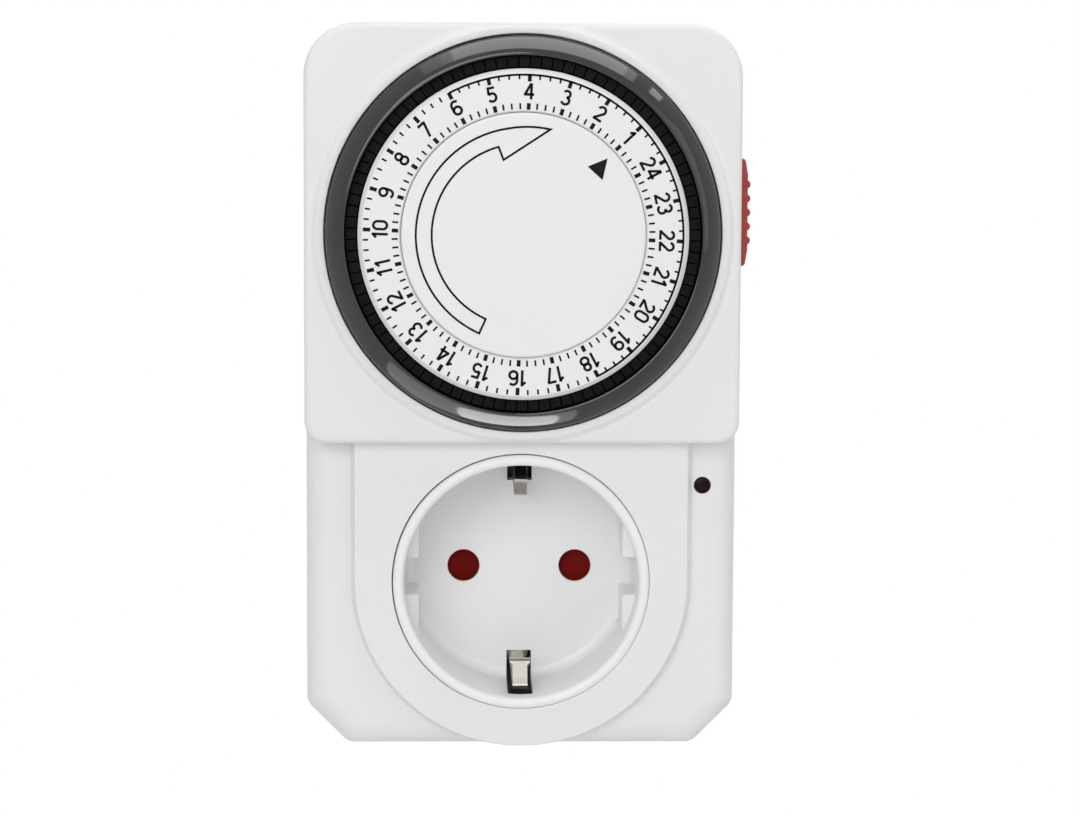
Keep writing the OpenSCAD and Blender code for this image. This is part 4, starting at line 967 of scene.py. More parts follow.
def build_rear_cover(case):
    """The rear cover: a shallow tray with soft back edges, screw recesses and the plug's hole."""
    body = case_outline(case)
    back, joint, thick, edge = case.mm("back"), case.mm("joint"), case.mm("wall"), case.mm("back_edge")
    recess, sink, shank, post, post_rise = 3.0, 3.0, 1.6, 4.1, 3.1
    hole_edge, recess_edge, ramp = 0.25, 0.3, 0.12
    hole = case.mm("plug_radius") - 0.97
    posts = screw_spots(case)
    holes = [((0, 0), hole, 192)] + [(p, shank, 64) for p in posts]

    def near_post(x, y):
        return min(away(x, y, p) for p in posts)

    def height(x, y):
        out = near_post(x, y)
        z = back + rounding(body.depth(x, y), edge)
        z += rounding(out - recess, recess_edge) + rounding(math.hypot(x, y) - hole, hole_edge)
        return z + (back + sink - z) * (1 - soft_step(out, recess - ramp, recess))

    lines = [(body.ring(inset, 2.5, 7.5), True) for inset in edge_insets(edge)]
    lines += [(circle((0, 0), hole + share, 192), True) for share in edge_insets(hole_edge, 3)]
    for p in posts:
        rings = [shank, recess - ramp, recess]
        rings += [recess + share for share in edge_insets(recess_edge, 3)[1:]]
        lines += [(circle(p, radius, 64), True) for radius in rings]

    bm = bmesh.new()
    outer_loops, border = sort_loops(surface(bm, lines, clear_of(holes), height), holes)
    foot = wall(bm, border, [joint - JOINT_CUT, lambda p: body_point(body, p, JOINT_CUT, joint)])

    def inner_height(x, y):
        return back + thick + post_rise * (1 - soft_step(near_post(x, y), post - 0.2, post))

    def inside_walls(x, y):
        return body.depth(x, y) > thick + LINE_GAP

    lines = [(body.ring(thick, 4, 10), True), (circle(*holes[0]), True)]
    for p in posts:
        lines.append((circle(p, shank, 64), True))
        for radius in (post - 0.2, post):
            lines += runs(circle(p, radius, 64), inside_walls)
    inner_loops, inner_border = sort_loops(surface(bm, lines, clear_of(holes), inner_height), holes)
    inner_foot = wall(bm, inner_border, [joint])
    for outer, inner in zip(outer_loops, inner_loops):
        bridge(bm, outer, inner)
    bridge(bm, foot, inner_foot)
    return smooth(new_object("rear_cover_shell", bm))


def screw_spots(case):
    """The middles of the four cover screws."""
    inset, low_inset = 7.45, 10.4
    x, high, low = case.mm("half_width") - inset, case.mm("top") - inset, low_inset - case.mm("drop")
    return [(-x, high), (x, high), (-x, low), (x, low)]


def plug_ring(case, inset):
    """The plug boss's outline, from the right: a circle with two flats, each with a guide ridge."""
    radius, flat = case.mm("plug_radius") - inset, case.mm("plug_flat") - inset
    ridge, fillet, diagonal = case.mm("plug_ridge") / 2 - inset, 0.6, 0.17
    reach = math.sqrt(radius * radius - ridge * ridge)
    bend = math.acos(flat / radius)
    window = math.asin(WINDOW / radius)
    quarter = [Vector((reach, ridge)), Vector((flat + fillet, ridge)),
               Vector((flat + diagonal, ridge + diagonal)), Vector((flat, ridge + fillet)),
               Vector((flat, (ridge + radius * math.sin(bend)) / 2))]
    stops = [bend + (math.pi / 2 - window - bend) * i / 9 for i in range(10)]
    stops += [math.pi / 2 - window * (1 - i / 3) for i in range(1, 4)]
    quarter += [Vector((radius * math.cos(a), radius * math.sin(a))) for a in stops]
    half = quarter + [Vector((-p.x, p.y)) for p in reversed(quarter[:-1])]
    left = [Vector((-radius, 0))]
    return [Vector((radius, 0))] + half + left + [Vector((p.x, -p.y)) for p in reversed(half)]


def build_plug_body(case):
    """The round plug boss: a cup whose face carries the pins, with a window for each earth contact."""
    height, edge, face, spigot_rise = case.mm("back"), case.mm("plug_edge"), 3.0, 2
    cup, spigot, window = case.mm("plug_radius") - 2.1, case.mm("plug_radius") - 1, (3.5, 14.5)
    pin_x, pin_hole = 9.5, 2.73
    bm = bmesh.new()

    def row(points, z):
        return [bm.verts.new((p.x, p.y, z)) for p in points]

    def in_window(a, b):
        reach = (WINDOW + 0.01) * cup / spigot + 0.4
        return max(abs(a.co.x), abs(b.co.x)) < reach and abs(a.co.y) > 10

    def join(rows, window_row):
        """Joins each row to the next, and leaves the windows open after one of them."""
        for number, (low, high) in enumerate(zip(rows, rows[1:])):
            for i in range(len(low)):
                if number != window_row or not in_window(low[i - 1], low[i]):
                    bm.faces.new((low[i - 1], low[i], high[i], high[i - 1]))

    outline = plug_ring(case, 0)
    rows = [row(plug_ring(case, inset), edge - edge * math.sin(math.acos(1 - inset / edge)))
            for inset in reversed(edge_insets(edge, 5))]
    window_row = len(rows)
    rows += [row(outline, z) for z in (*window, height)]
    spigot_points = [p.normalized() * spigot for p in outline]
    rows += [row(spigot_points, height), row(spigot_points, height + spigot_rise)]
    limit = case.mm("plug_flat") - 1.8
    cup_points = [p.normalized() * cup for p in outline]
    cup_points = [Vector((max(-limit, min(limit, p.x)), p.y)) for p in cup_points]
    inner = [row(cup_points, z) for z in (height + spigot_rise, window[1], window[0], face)]
    join(rows, window_row)
    join([rows[-1], inner[0]], None)
    join(inner, 1)
    windows = [loop for loop in open_loops(bm.edges) if len(loop) < 40]
    for side in (-1, 1):
        bridge(bm, *[loop for loop in windows if all(v.co.y * side > 0 for v in loop)])
    holes = {}
    for z in (0, face):
        for side in (-1, 1):
            holes[z, side] = row(circle((side * pin_x, 0), pin_hole, 48), z)
    fill(bm, rows[0], holes[0, -1], holes[0, 1])
    fill(bm, inner[-1], holes[face, -1], holes[face, 1])
    for side in (-1, 1):
        bridge(bm, holes[0, side], holes[face, side])
    return smooth(new_object("plug_shell", bm))


# ---- the socket ----

def build_socket_insert(socket):
    """The socket insert: a well with a rounded rim, guide ribs, pin holes and earth slots."""
    well, wall_width, rim, floor = (socket.mm(key) for key in ("well", "wall", "rim", "floor"))
    under, outer, lip, cove = floor - socket.mm("floor_wall"), well + wall_width, wall_width / 2, 1.8
    # The floor stands on a stem and a ring.
    stem, ring_inner, ring_outer, foot = 1.2, 13.4, 14.6, under - 2.7
    profile = [(0, foot), (stem, foot), (stem, under), (ring_inner, under), (ring_inner, foot),
               (ring_outer, foot), (ring_outer, under), (outer, under)]
    profile += arc((well + lip, rim - lip), lip, 0, math.pi, 12)
    profile += arc((well - cove, floor + cove), cove, 0, -math.pi / 2, 4)
    profile.append((0, floor))
    insert = bmesh.new()
    revolve(insert, profile, 192, closed=False)

    bm = bmesh.new()
    rib_top, rib_x, pocket = socket.mm("rib_top"), socket.mm("rib_x"), socket.mm("pocket") / 2
    reach = well + 0.8
    far = math.sqrt(reach * reach - rib_x * rib_x)
    round_side = arc((0, 0), reach, math.asin(pocket / reach), math.asin(far / reach), 10)
    for side in (-1, 1):
        for up in (-1, 1):
            own = bmesh.new()
            prism(own, [(rib_x, pocket)] + round_side, floor - 0.5, rib_top)
            bmesh.ops.recalc_face_normals(own, faces=own.faces)
            edges = [e for e in own.edges if not all(v.co.z < floor for v in e.verts)
                     and all(v.co.z > rib_top - 0.01 or v.co.x < rib_x + 0.01 for v in e.verts)]
            bmesh.ops.bevel(own, geom=edges, offset=0.45, segments=3, profile=0.5, affect="EDGES")
            add_copy(bm, own, Matrix.Diagonal((side, up, 1, 1)))
    insert = combine(insert, bm, "UNION")

    bm = bmesh.new()
    hole, half, start = socket.mm("hole"), socket.mm("slot") / 2, socket.mm("slot_y")
    cutter = [(0, under - 1), (hole + 0.5, under - 1), (hole, floor - 0.3), (hole + 0.05, floor - 0.1),
              (hole + 0.3, floor + 0.3), (hole + 0.3, floor + 1), (0, floor + 1)]
    for side in (-1, 1):
        revolve(bm, cutter, 64, (side * socket.mm("hole_x"), 0), False)
    for side in (-1, 1):
        ends = sorted((side * start, side * (outer + 1)))
        block(bm, (-half, half), ends, (under - 1, socket.mm("slot_top")))
    insert = combine(insert, bm, "DIFFERENCE")
    return smooth(new_object("socket_insert_body", insert), 38)


def strip(bm, path, widths, sheet):
    """A bent strip of sheet metal along a path of depth and height, with a width at each of its points."""
    sections = []
    for i, here in enumerate(path):
        before, after = path[max(0, i - 1)], path[min(len(path) - 1, i + 1)]
        along = (Vector(after) - Vector(before)).normalized()
        side = Vector((-along.y, along.x)) * sheet / 2
        half = widths[i] / 2
        sections.append([bm.verts.new((x * half, here[0] + k * side.x, here[1] + k * side.y))
                         for x, k in ((-1, -1), (1, -1), (1, 1), (-1, 1))])
    bar(bm, sections)


# An earth clip's two bends: how far out and how far back each point lies from the bend's own place
FRONT_BEND = ((0.45, 1.3), (0.4, 0.55), (0.25, 0.15), (0, 0), (-0.3, 0.15))
CONTACT_BEND = ((0.4, -0.32), (0.1, -0.06), (0, 0.3), (0.1, 0.75), (0.45, 1.6), (1.4, 4.8))


def clip_path(socket, tip, crest):
    """One earth clip from its foot on the carrier, over its front bend to its contact bend and tail."""
    arm = socket.mm("well") + socket.mm("wall") / 2 - socket.mm("clip_sheet") / 2
    front = [(tip[0] + out, tip[1] - back) for out, back in FRONT_BEND]
    contact = [(crest[0] + out, crest[1] - back) for out, back in CONTACT_BEND]
    start, goal = Vector(front[-1]), Vector(contact[0])
    between = [tuple(start.lerp(goal, share)) for share in (0.3, 0.6, 0.85)]
    return [(arm, 21.7), (arm, 38.0), *front, *between, *contact]


def build_earth_clips(socket):
    """The two earth clips on their common strap."""
    front, narrow, sheet = socket.mm("slot_top"), socket.mm("clip"), socket.mm("clip_sheet")
    # each clip's side, the places of its front bend and contact bend, and the width of its bar
    clips = ((-1, (18.4, front - 2.3), (14.6, front - 5.2), socket.mm("clip_bar")),
             (1, (16.2, front - 4.7), (13.4, front - 7.2), narrow - 0.3))
    bm = bmesh.new()
    for side, tip, crest, wide in clips:
        own = bmesh.new()
        path = clip_path(socket, tip, crest)
        plain = min(narrow, wide)
        strip(own, path, [plain] * 10 + [wide] * 4 + [plain] * 2, sheet)
        own.transform(Matrix.Diagonal((1, side, 1, 1)))
        add_copy(bm, own)
    arm = path[0][0] + sheet / 2
    rounded_block(bm, (-2, 2), (-arm, arm), (21.42, 22.0), 0.08, 1)
    made = new_object("earth_clips", bm)
    soften(made, 0.09, 50, False)
    return smooth(made, 40)


# ---- the dial ----

def dial_bm(dial, bm):
    """Moves a mesh that was drawn about the origin to the dial's axis."""
    bm.transform(Matrix.Translation((0, dial.mm("centre"), 0)))
    return bm


def build_dial_ring(dial):
    """The dial ring: a convex slope from its foot up to a narrow crest."""
    outer, inner, back = dial.mm("ring"), dial.mm("ring_inner"), dial.mm("ring_back")
    foot = Vector((outer, dial.mm("ring_foot")))
    crest = Vector((outer - dial.mm("slope"), dial.mm("crest")))
    run = crest - foot
    radius = dial.mm("slope_curve")
    inward = Vector((-run.y, run.x)).normalized()
    middle = (foot + crest) / 2 + inward * math.sqrt(radius ** 2 - run.length_squared / 4)
    start, end = (math.atan2(p.y - middle.y, p.x - middle.x) for p in (foot, crest))
    profile = [(inner, back), (outer, back), (outer, foot.y - 0.25), (outer - 0.03, foot.y - 0.1)]
    profile += arc(middle, radius, start, end, 16)[1:-1]
    profile += [(crest.x - 0.05, crest.y - 0.03), (crest.x - 0.18, crest.y), (inner + 0.2, crest.y),
                (inner + 0.06, crest.y - 0.06), (inner, crest.y - 0.22)]
    bm = bmesh.new()
    revolve(bm, profile, 288)
    return smooth(new_object("dial_ring_body", dial_bm(dial, bm)), 40)


def build_scale_disc(dial):
    """The white scale disc with its bevelled edge."""
    keys = ("scale", "scale_hole", "scale_top", "scale_back", "bevel")
    outer, inner, top, back, bevel = (dial.mm(key) for key in keys)
    top -= dial.mm("print")
    thick, step = 1.3, 0.17
    profile = [(inner - step, top - thick), (inner - step, top - 0.42), (inner, top - 0.36),
               (inner, top - 0.12), (inner + 0.04, top - 0.04), (inner + 0.12, top),
               (outer - bevel - 0.06, top), (outer - bevel + 0.05, top - 0.03),
               (outer - 0.05, top - bevel + 0.03), (outer, top - bevel - 0.08), (outer, back),
               (outer - 1, back), (outer - 1, top - thick)]
    bm = bmesh.new()
    revolve(bm, profile, 288)
    return smooth(new_object("scale_disc_body", dial_bm(dial, bm)), 30)


def hour_angle(dial, hour):
    """Angle of an hour on the scale, clockwise from the top."""
    return dial.midnight + math.radians(15) * (24 - hour)


def spoke(bm, angle, inner, outer, width, low, high):
    """A thin bar along a radius, at an angle clockwise from the top."""
    half = width / 2
    turned = Matrix.Rotation(-angle, 4, "Z")
    prism(bm, [(-half, inner), (half, inner), (half, outer), (-half, outer)], low, high, turned)


def arc_band(bm, start, end, inner, outer, low, high):
    """A thin band along an arc, between two angles clockwise from the top."""
    parts = max(2, math.ceil(math.degrees(end - start) / 1.5))
    angles = [start + (end - start) * i / parts for i in range(parts + 1)]
    corners = ((inner, low), (outer, low), (outer, high), (inner, high))
    bar(bm, [[bm.verts.new((r * math.sin(a), r * math.cos(a), z)) for r, z in corners] for a in angles])


def stroke(bm, points, width, low, high, closed=True):
    """A line of even width through points, mitred at its bends."""
    sections = []
    count = len(points)
    for i, p in enumerate(points):
        here = Vector(p)
        after = Vector(points[(i + 1) % count]) - here
        before = here - Vector(points[i - 1])
        if not closed and i in (0, count - 1):
            before = after = after if i == 0 else before
        first, second = before.normalized(), after.normalized()
        normal = Vector((-first.y - second.y, first.x + second.x)).normalized()
        reach = width / 2 / max(0.35, normal.dot(Vector((-second.y, second.x))))
        left, right = here + normal * reach, here - normal * reach
        corners = ((left, low), (right, low), (right, high), (left, high))
        sections.append([bm.verts.new((q.x, q.y, z)) for q, z in corners])
    bar(bm, sections, closed)


def bow(x, y, across, up, start, end):
    """Points of an oval arc between two angles, in degrees anticlockwise from the right."""
    parts = max(4, round(abs(end - start) / 15))
    turns = [math.radians(start + (end - start) * i / parts) for i in range(parts + 1)]
    return [(x + across * math.cos(a), y + up * math.sin(a)) for a in turns]


# The height of the digits below, the step from one to the next, and the step beside a one
DIGIT_HEIGHT, DIGIT_PITCH, ONE_PITCH = 2.6, 1.85, 1.55

# Each digit's strokes about its own middle, each with whether it is closed. A nine is a six turned round.
SIX = [(bow(0.02, 0.42, 0.65, 0.68, 40, 180) + [(-0.63, -0.48)], False),
       (bow(0, -0.48, 0.63, 0.62, 0, 345), True)]
DIGITS = {
    "0": [(bow(0, 0.47, 0.63, 0.63, 0, 180) + bow(0, -0.47, 0.63, 0.63, 180, 360), True)],
    "1": [([(0.12, 1.3), (0.12, -1.3)], False), ([(0.2, 1.22), (-0.45, 0.6)], False)],
    "2": [(bow(0, 0.5, 0.6, 0.6, 170, -35) + [(-0.58, -1.02)], False),
          ([(-0.77, -1.1), (0.77, -1.1)], False)],
    "3": [(bow(-0.05, 0.55, 0.54, 0.55, 155, -85), False),
          (bow(-0.04, -0.5, 0.63, 0.6, 85, -155), False)],
    "4": [([(0.26, 1.25), (-0.66, -0.5)], False), ([(-0.84, -0.5), (0.8, -0.5)], False),
          ([(0.34, 1.3), (0.34, -1.3)], False)],
    "5": [([(0.62, 1.1), (-0.42, 1.1), (-0.52, 0.02)], False),
          (bow(-0.02, -0.44, 0.63, 0.66, 140, -150), False)],
    "6": SIX,
    "7": [([(-0.75, 1.1), (0.62, 1.1)], False),
          ([(0.56, 1.2), (-0.2, -1.3)], False)],
    "8": [(bow(0, 0.55, 0.53, 0.55, 0, 345), True), (bow(0, -0.5, 0.63, 0.6, 0, 345), True)],
    "9": [([(-x, -y) for x, y in line], closed) for line, closed in SIX],
}


def number_mesh(bm, text, height, weight, low, high, move):
    """A number as flat strokes about its own middle."""
    size = height / DIGIT_HEIGHT
    places = [0.0]
    for before, after in zip(text, text[1:]):
        places.append(places[-1] + size * (DIGIT_PITCH if "1" not in (before, after) else ONE_PITCH))
    for digit, place in zip(text, places):
        for line, closed in DIGITS[digit]:
            own = bmesh.new()
            shifted = [(x * size + place - places[-1] / 2, y * size) for x, y in line]
            stroke(own, shifted, weight, low, high, closed)
            add_copy(bm, own, move)


def build_scale_print(dial):
    """The print on the scale: quarter-hour marks, the night line and the hour numbers."""
    high = dial.mm("scale_top")
    low = high - dial.mm("print") * 2
    outer, inner = dial.mm("scale") - dial.mm("bevel") - 0.12, dial.mm("scale_hole") + 0.1
    bm = bmesh.new()
    for quarter in range(96):
        angle = hour_angle(dial, quarter / 4)
        mark, gap, width = (1.2, 0.1, 0.62) if quarter % 4 == 0 else (0.85, 0.18, 0.3)
        spoke(bm, angle, outer - mark, outer, width, low, high)
        spoke(bm, angle, inner + gap, inner + 1.15, width, low, high)
    night, morning = hour_angle(dial, 24 + dial.day_start), hour_angle(dial, dial.day_end)
    arc_band(bm, night, morning, outer - 0.3, outer + 0.05, low, high)
    for hour in range(1, 25):
        turned = Matrix.Rotation(-hour_angle(dial, hour), 4, "Z")
        number_mesh(bm, str(hour), dial.mm("numeral"), dial.mm("weight"), low, high,
                    turned @ Matrix.Translation((0, dial.mm("numeral_radius"), 0)))
    return new_object("scale_print", dial_bm(dial, bm))


def build_centre_disc(dial):
    """The fixed centre disc on its hub."""
    radius, top = dial.mm("disc"), dial.mm("disc_top") - dial.mm("print")
    hub, hub_drop, collar, collar_drop, thick = 1.52, 8.2, 4.5, 1.9, 1.5
    profile = [(0, top - hub_drop), (hub, top - hub_drop), (hub, top - collar_drop),
               (collar, top - collar_drop), (collar, top - thick), (radius, top - thick),
               (radius, top - 0.35), (radius - 0.07, top - 0.14), (radius - 0.22, top - 0.03),
               (radius - 0.45, top), (0, top)]
    bm = bmesh.new()
    revolve(bm, profile, 256, closed=False)
    return smooth(new_object("centre_disc_body", dial_bm(dial, bm)), 35)


def build_centre_print(dial):
    """The pointer triangle and the turning arrow on the centre disc."""
    high = dial.mm("disc_top")
    low = high - dial.mm("print") * 2
    bm = bmesh.new()
    prism(bm, [(10.3, 11.2), (12.7, 9.0), (13.5, 12.5)], low, high)
    wide, narrow, barb = 17.45, 14.88, (-3.3, 12.2)
    tail, tip, notch = math.radians(204.2) - 2 * math.pi, math.radians(14.0), math.radians(-16.0)
    arrow = []
    for i in range(61):
        angle = tip + (tail - tip) * i / 60
        swell = 1 + 0.012 * max(0, 1 - i / 8)
        arrow.append((wide * math.sin(angle) * swell, wide * math.cos(angle) * swell))
    for i in range(51):
        angle = tail + (notch - tail) * i / 50
        arrow.append((narrow * math.sin(angle), narrow * math.cos(angle)))
    arrow.append(barb)
    stroke(bm, arrow, 0.34, low, high)
    return new_object("centre_print", dial_bm(dial, bm))


# ---- the slider and the indicator ----

def build_slider(case, slider):
    """The override slider: a ridged grip on a shank, with its guide and rod inside the wall."""
    side, grip, rise = case.mm("half_width"), slider.mm("grip") / 2, slider.mm("rise")
    width, middle, depth = slider.mm("width") / 2, slider.mm("middle"), slider.mm("depth")
    pitch, count, ridge = slider.mm("grip") / 7.7, slider.ridges, 0.75
    edge, end_edge, ramp_length, ramp_drop = 0.45, 0.5, 2.6, 0.45
    land = side + rise - 0.45

    def reach(y):
        """How far the grip's face reaches sideways at a height above its middle."""
        x = land - ramp_drop * (1 - min(1.0, (grip - abs(y)) / ramp_length))
        for i in range(count):
            off = abs(y - (i - (count - 1) / 2) * pitch)
            if off < ridge:
                x = max(x, side + rise - ridge + math.sqrt(ridge * ridge - off * off))
        return x

    across = sorted({round(s * (width - e), 4) for s in (-1, 1) for e in [*edge_insets(edge, 4), 2.0]})
    along = [-grip + 2 * grip * i / 180 for i in range(181)]
    bm = bmesh.new()
    rows = []
    for z in across:
        drop = rounding(width - abs(z), edge)
        faces = [max(side + 0.06, reach(y) - drop - rounding(grip - abs(y), end_edge)) for y in along]
        rows.append([bm.verts.new((x, middle + y, depth + z)) for x, y in zip(faces, along)])
    for low, high in zip(rows, rows[1:]):
        for i in range(len(along) - 1):
            bm.faces.new((low[i], low[i + 1], high[i + 1], high[i]))
    fill(bm, wall(bm, open_loops(bm.edges)[0], [lambda p: Vector((side + 0.05, p.y, p.z))]))
    bmesh.ops.remove_doubles(bm, verts=bm.verts[:], dist=1e-4)
    rounded_block(bm, (side - 3.1, side + 0.3), (middle - slider.mm("slot"), middle + slider.mm("slot")),
                  (depth - 2, depth + 2), 0.2, 2)
    rounded_block(bm, (side - 3.55, side - 2.15), (middle - 5, middle + 5), (38.5, 53.4), 0.25, 2)
    rod = bmesh.new()
    rod_radius, rod_end = 1, side - 16.8
    revolve(rod, [(0, rod_end), (rod_radius - 0.2, rod_end), (rod_radius, side - 16.6),
                  (rod_radius, side - 3), (0, side - 3)], 32, closed=False)
    sideways = Matrix.Rotation(math.pi / 2, 4, "Y")
    add_copy(bm, rod, Matrix.Translation((0, middle + 3.6, depth + 9.65)) @ sideways)
    return smooth(new_object("slider_grip", bm), 35)


def build_lens(case):
    """The indicator lens: a small dome over a hollow light guide."""
    plate, hole = case.mm("plate"), case.mm("lamp_hole") - 0.05
    flange, guide_inner, guide, guide_length = plate - case.mm("wall"), 2.3, 2.9, 8.5
    profile = [(0, flange - 1.5), (guide_inner, flange - 1.5), (guide_inner, flange - guide_length),
               (guide, flange - guide_length), (guide, flange), (hole, flange)]
    profile += arc((0, plate - 0.05), hole, 0, math.pi / 2, 6, 0.25)[:-1]
    profile.append((0, plate + 0.2))
    bm = bmesh.new()
    revolve(bm, profile, 48, (case.mm("lamp_x"), case.mm("lamp_y")), closed=False)
    return smooth(new_object("indicator_lens", bm), 35)


# ---- operators ----

class TIMER_OT_front_cover(Operator):
    """Build the front cover with its dial block, collar and socket boss"""
    bl_idname = "timer.front_cover"
    bl_label = "Front cover"

    def execute(self, context):
        s = context.scene
        made = build_front_cover(s.timer_case, s.timer_dial, s.timer_socket, s.timer_slider)
        dress(made, finish("cover"), "housing", ["front_cover"])
        return {"FINISHED"}


class TIMER_OT_rear_cover(Operator):
    """Build the rear cover with its screw recesses"""
    bl_idname = "timer.rear_cover"
    bl_label = "Rear cover"

    def execute(self, context):
        made = build_rear_cover(context.scene.timer_case)
        dress(made, finish("cover"), "housing", ["rear_cover"])
        return {"FINISHED"}


class TIMER_OT_plug(Operator):
    """Build the round plug boss, and finish its pins, earth strap and clamp"""
    bl_idname = "timer.plug"
    bl_label = "Plug"

    def execute(self, context):
        made = build_plug_body(context.scene.timer_case)
        dress(made, finish("cover"), "housing", ["plug_body"])
        dress_nodes(finish("nickel"), "plug_pin_live", "plug_pin_neutral", "plug_earth_strap")
        dress_nodes(finish("moulding"), "pin_clamp", bevel=0.2)
        return {"FINISHED"}


class TIMER_OT_socket(Operator):
    """Build the socket insert and its earth clips, and finish the sleeves and their carrier"""
    bl_idname = "timer.socket"
    bl_label = "Socket"

    def execute(self, context):
        socket = context.scene.timer_socket
        dress(build_socket_insert(socket), finish("insert"), "housing", ["socket_insert"])
        dress(build_earth_clips(socket), finish("nickel"), "housing", ["earth_strap"])
        dress_nodes(finish("brass"), "contact_live", "contact_neutral")
        dress_nodes(finish("moulding"), "contact_carrier", bevel=0.2)
        return {"FINISHED"}


class TIMER_OT_shutter(Operator):
    """Finish the safety shutter, its spring and its retainer"""
    bl_idname = "timer.shutter"
    bl_label = "Safety shutter"

    def execute(self, context):
        dress_nodes(finish("shutter"), "safety_shutter", bevel=0.15)
        dress_nodes(finish("steel"), "shutter_spring")
        dress_nodes(finish("gear"), "shutter_retainer", bevel=0.15)
        return {"FINISHED"}


class TIMER_OT_dial_ring(Operator):
    """Build the glossy dial ring"""
    bl_idname = "timer.dial_ring"
    bl_label = "Dial ring"

    def execute(self, context):
        made = build_dial_ring(context.scene.timer_dial)
        dress(made, finish("ring"), "dial", ["dial_ring"])
        return {"FINISHED"}


class TIMER_OT_scale(Operator):
    """Build the scale disc and its print"""
    bl_idname = "timer.scale"
    bl_label = "Scale disc"

    def execute(self, context):
        dial = context.scene.timer_dial
        dress(build_scale_disc(dial), finish("disc"), "dial", ["scale_disc"])
        dress(build_scale_print(dial), finish("ink"), "dial")
        return {"FINISHED"}


class TIMER_OT_centre_disc(Operator):
    """Build the fixed centre disc with its pointer and arrow"""
    bl_idname = "timer.centre_disc"
    bl_label = "Centre disc"

    def execute(self, context):
        dial = context.scene.timer_dial
        dress(build_centre_disc(dial), finish("disc"), "housing", ["centre_disc"])
        dress(build_centre_print(dial), finish("ink"), "housing")
        return {"FINISHED"}


class TIMER_OT_tappets(Operator):
    """Finish the tappets, the dial wheel and its axle"""
    bl_idname = "timer.tappets"
    bl_label = "Tappets"

    def execute(self, context):
        dress_nodes(finish("tappet"), "tappets_idle", "tappets_night", bevel=0.08)
        dress_nodes(finish("tappet"), "dial_wheel")
        dress_nodes(finish("steel"), "dial_axle")
        return {"FINISHED"}


class TIMER_OT_slider(Operator):
    """Build the override slider"""
    bl_idname = "timer.slider"
    bl_label = "Override slider"

    def execute(self, context):
        s = context.scene
        made = build_slider(s.timer_case, s.timer_slider)
        dress(made, finish("slider"), "slider", ["override_slider"])
        return {"FINISHED"}


class TIMER_OT_indicator(Operator):
    """Build the indicator lens, and finish the lamp behind it"""
    bl_idname = "timer.indicator"
    bl_label = "Indicator"

    def execute(self, context):
        dress(build_lens(context.scene.timer_case), finish("lens"), "housing", ["lamp_lens"])
        dress_nodes(finish("glass"), "neon_lamp", bevel=0.6)
        dress_nodes(finish("resistor"), "lamp_resistor", bevel=0.3)
        dress_nodes(finish("nickel"), "lamp_leads")
        return {"FINISHED"}


class TIMER_OT_movement(Operator):
    """Finish the gear train, its plates and the motor"""
    bl_idname = "timer.movement"
    bl_label = "Movement"

    def execute(self, context):
        dress_nodes(finish("gear"), "dial_gear", "clutch_wheel", "fourth_wheel", "third_wheel",
                    "second_wheel", "first_wheel", "motor_bobbin")
        dress_nodes(finish("gear"), "gear_plate_front", "gear_plate_back", bevel=0.2)
        dress_nodes(finish("steel"), "drive_pinion", "clutch_spring", "motor_can", "motor_pole_plate")
        dress_nodes(finish("magnet"), "motor_rotor")
        dress_nodes(finish("winding"), "motor_winding")
        return {"FINISHED"}


class TIMER_OT_switchgear(Operator):
    """Finish the follower, the contacts, the bus bars and the leads"""
    bl_idname = "timer.switchgear"
    bl_label = "Switch and bus bars"

    def execute(self, context):
        dress_nodes(finish("moulding"), "follower_lever", "switch_base", bevel=0.15)
        dress_nodes(finish("steel"), "follower_pin")
        dress_nodes(finish("brass"), "blade_terminal", "contact_blade", "fixed_contact", "busbar_live",
                    "busbar_switched")
        dress_nodes(finish("wire"), "motor_leads")
        return {"FINISHED"}


class TIMER_OT_fasteners(Operator):
    """Finish the screws and the rivet"""
    bl_idname = "timer.fasteners"
    bl_label = "Fasteners"

    def execute(self, context):
        dress_nodes(finish("nickel"), "cover_screws", bevel=0.12)
        dress_nodes(finish("steel"), "clamp_screw", "earth_rivet", "plate_screws", bevel=0.12)
        return {"FINISHED"}


# ---- stage ----

def area_light(name, spot, size, watts, aim):
    """A rectangular soft light at a spot, aimed at a point."""
    data = bpy.data.lights.new(name, "AREA")
    data.shape = "RECTANGLE"
    data.size, data.size_y = size
    data.energy = watts
    made = put_in_scene(name, data)
    made.location = spot
    made.rotation_mode = "QUATERNION"
    made.rotation_quaternion = (Vector(aim) - Vector(spot)).to_track_quat("-Z", "Y")
    return made


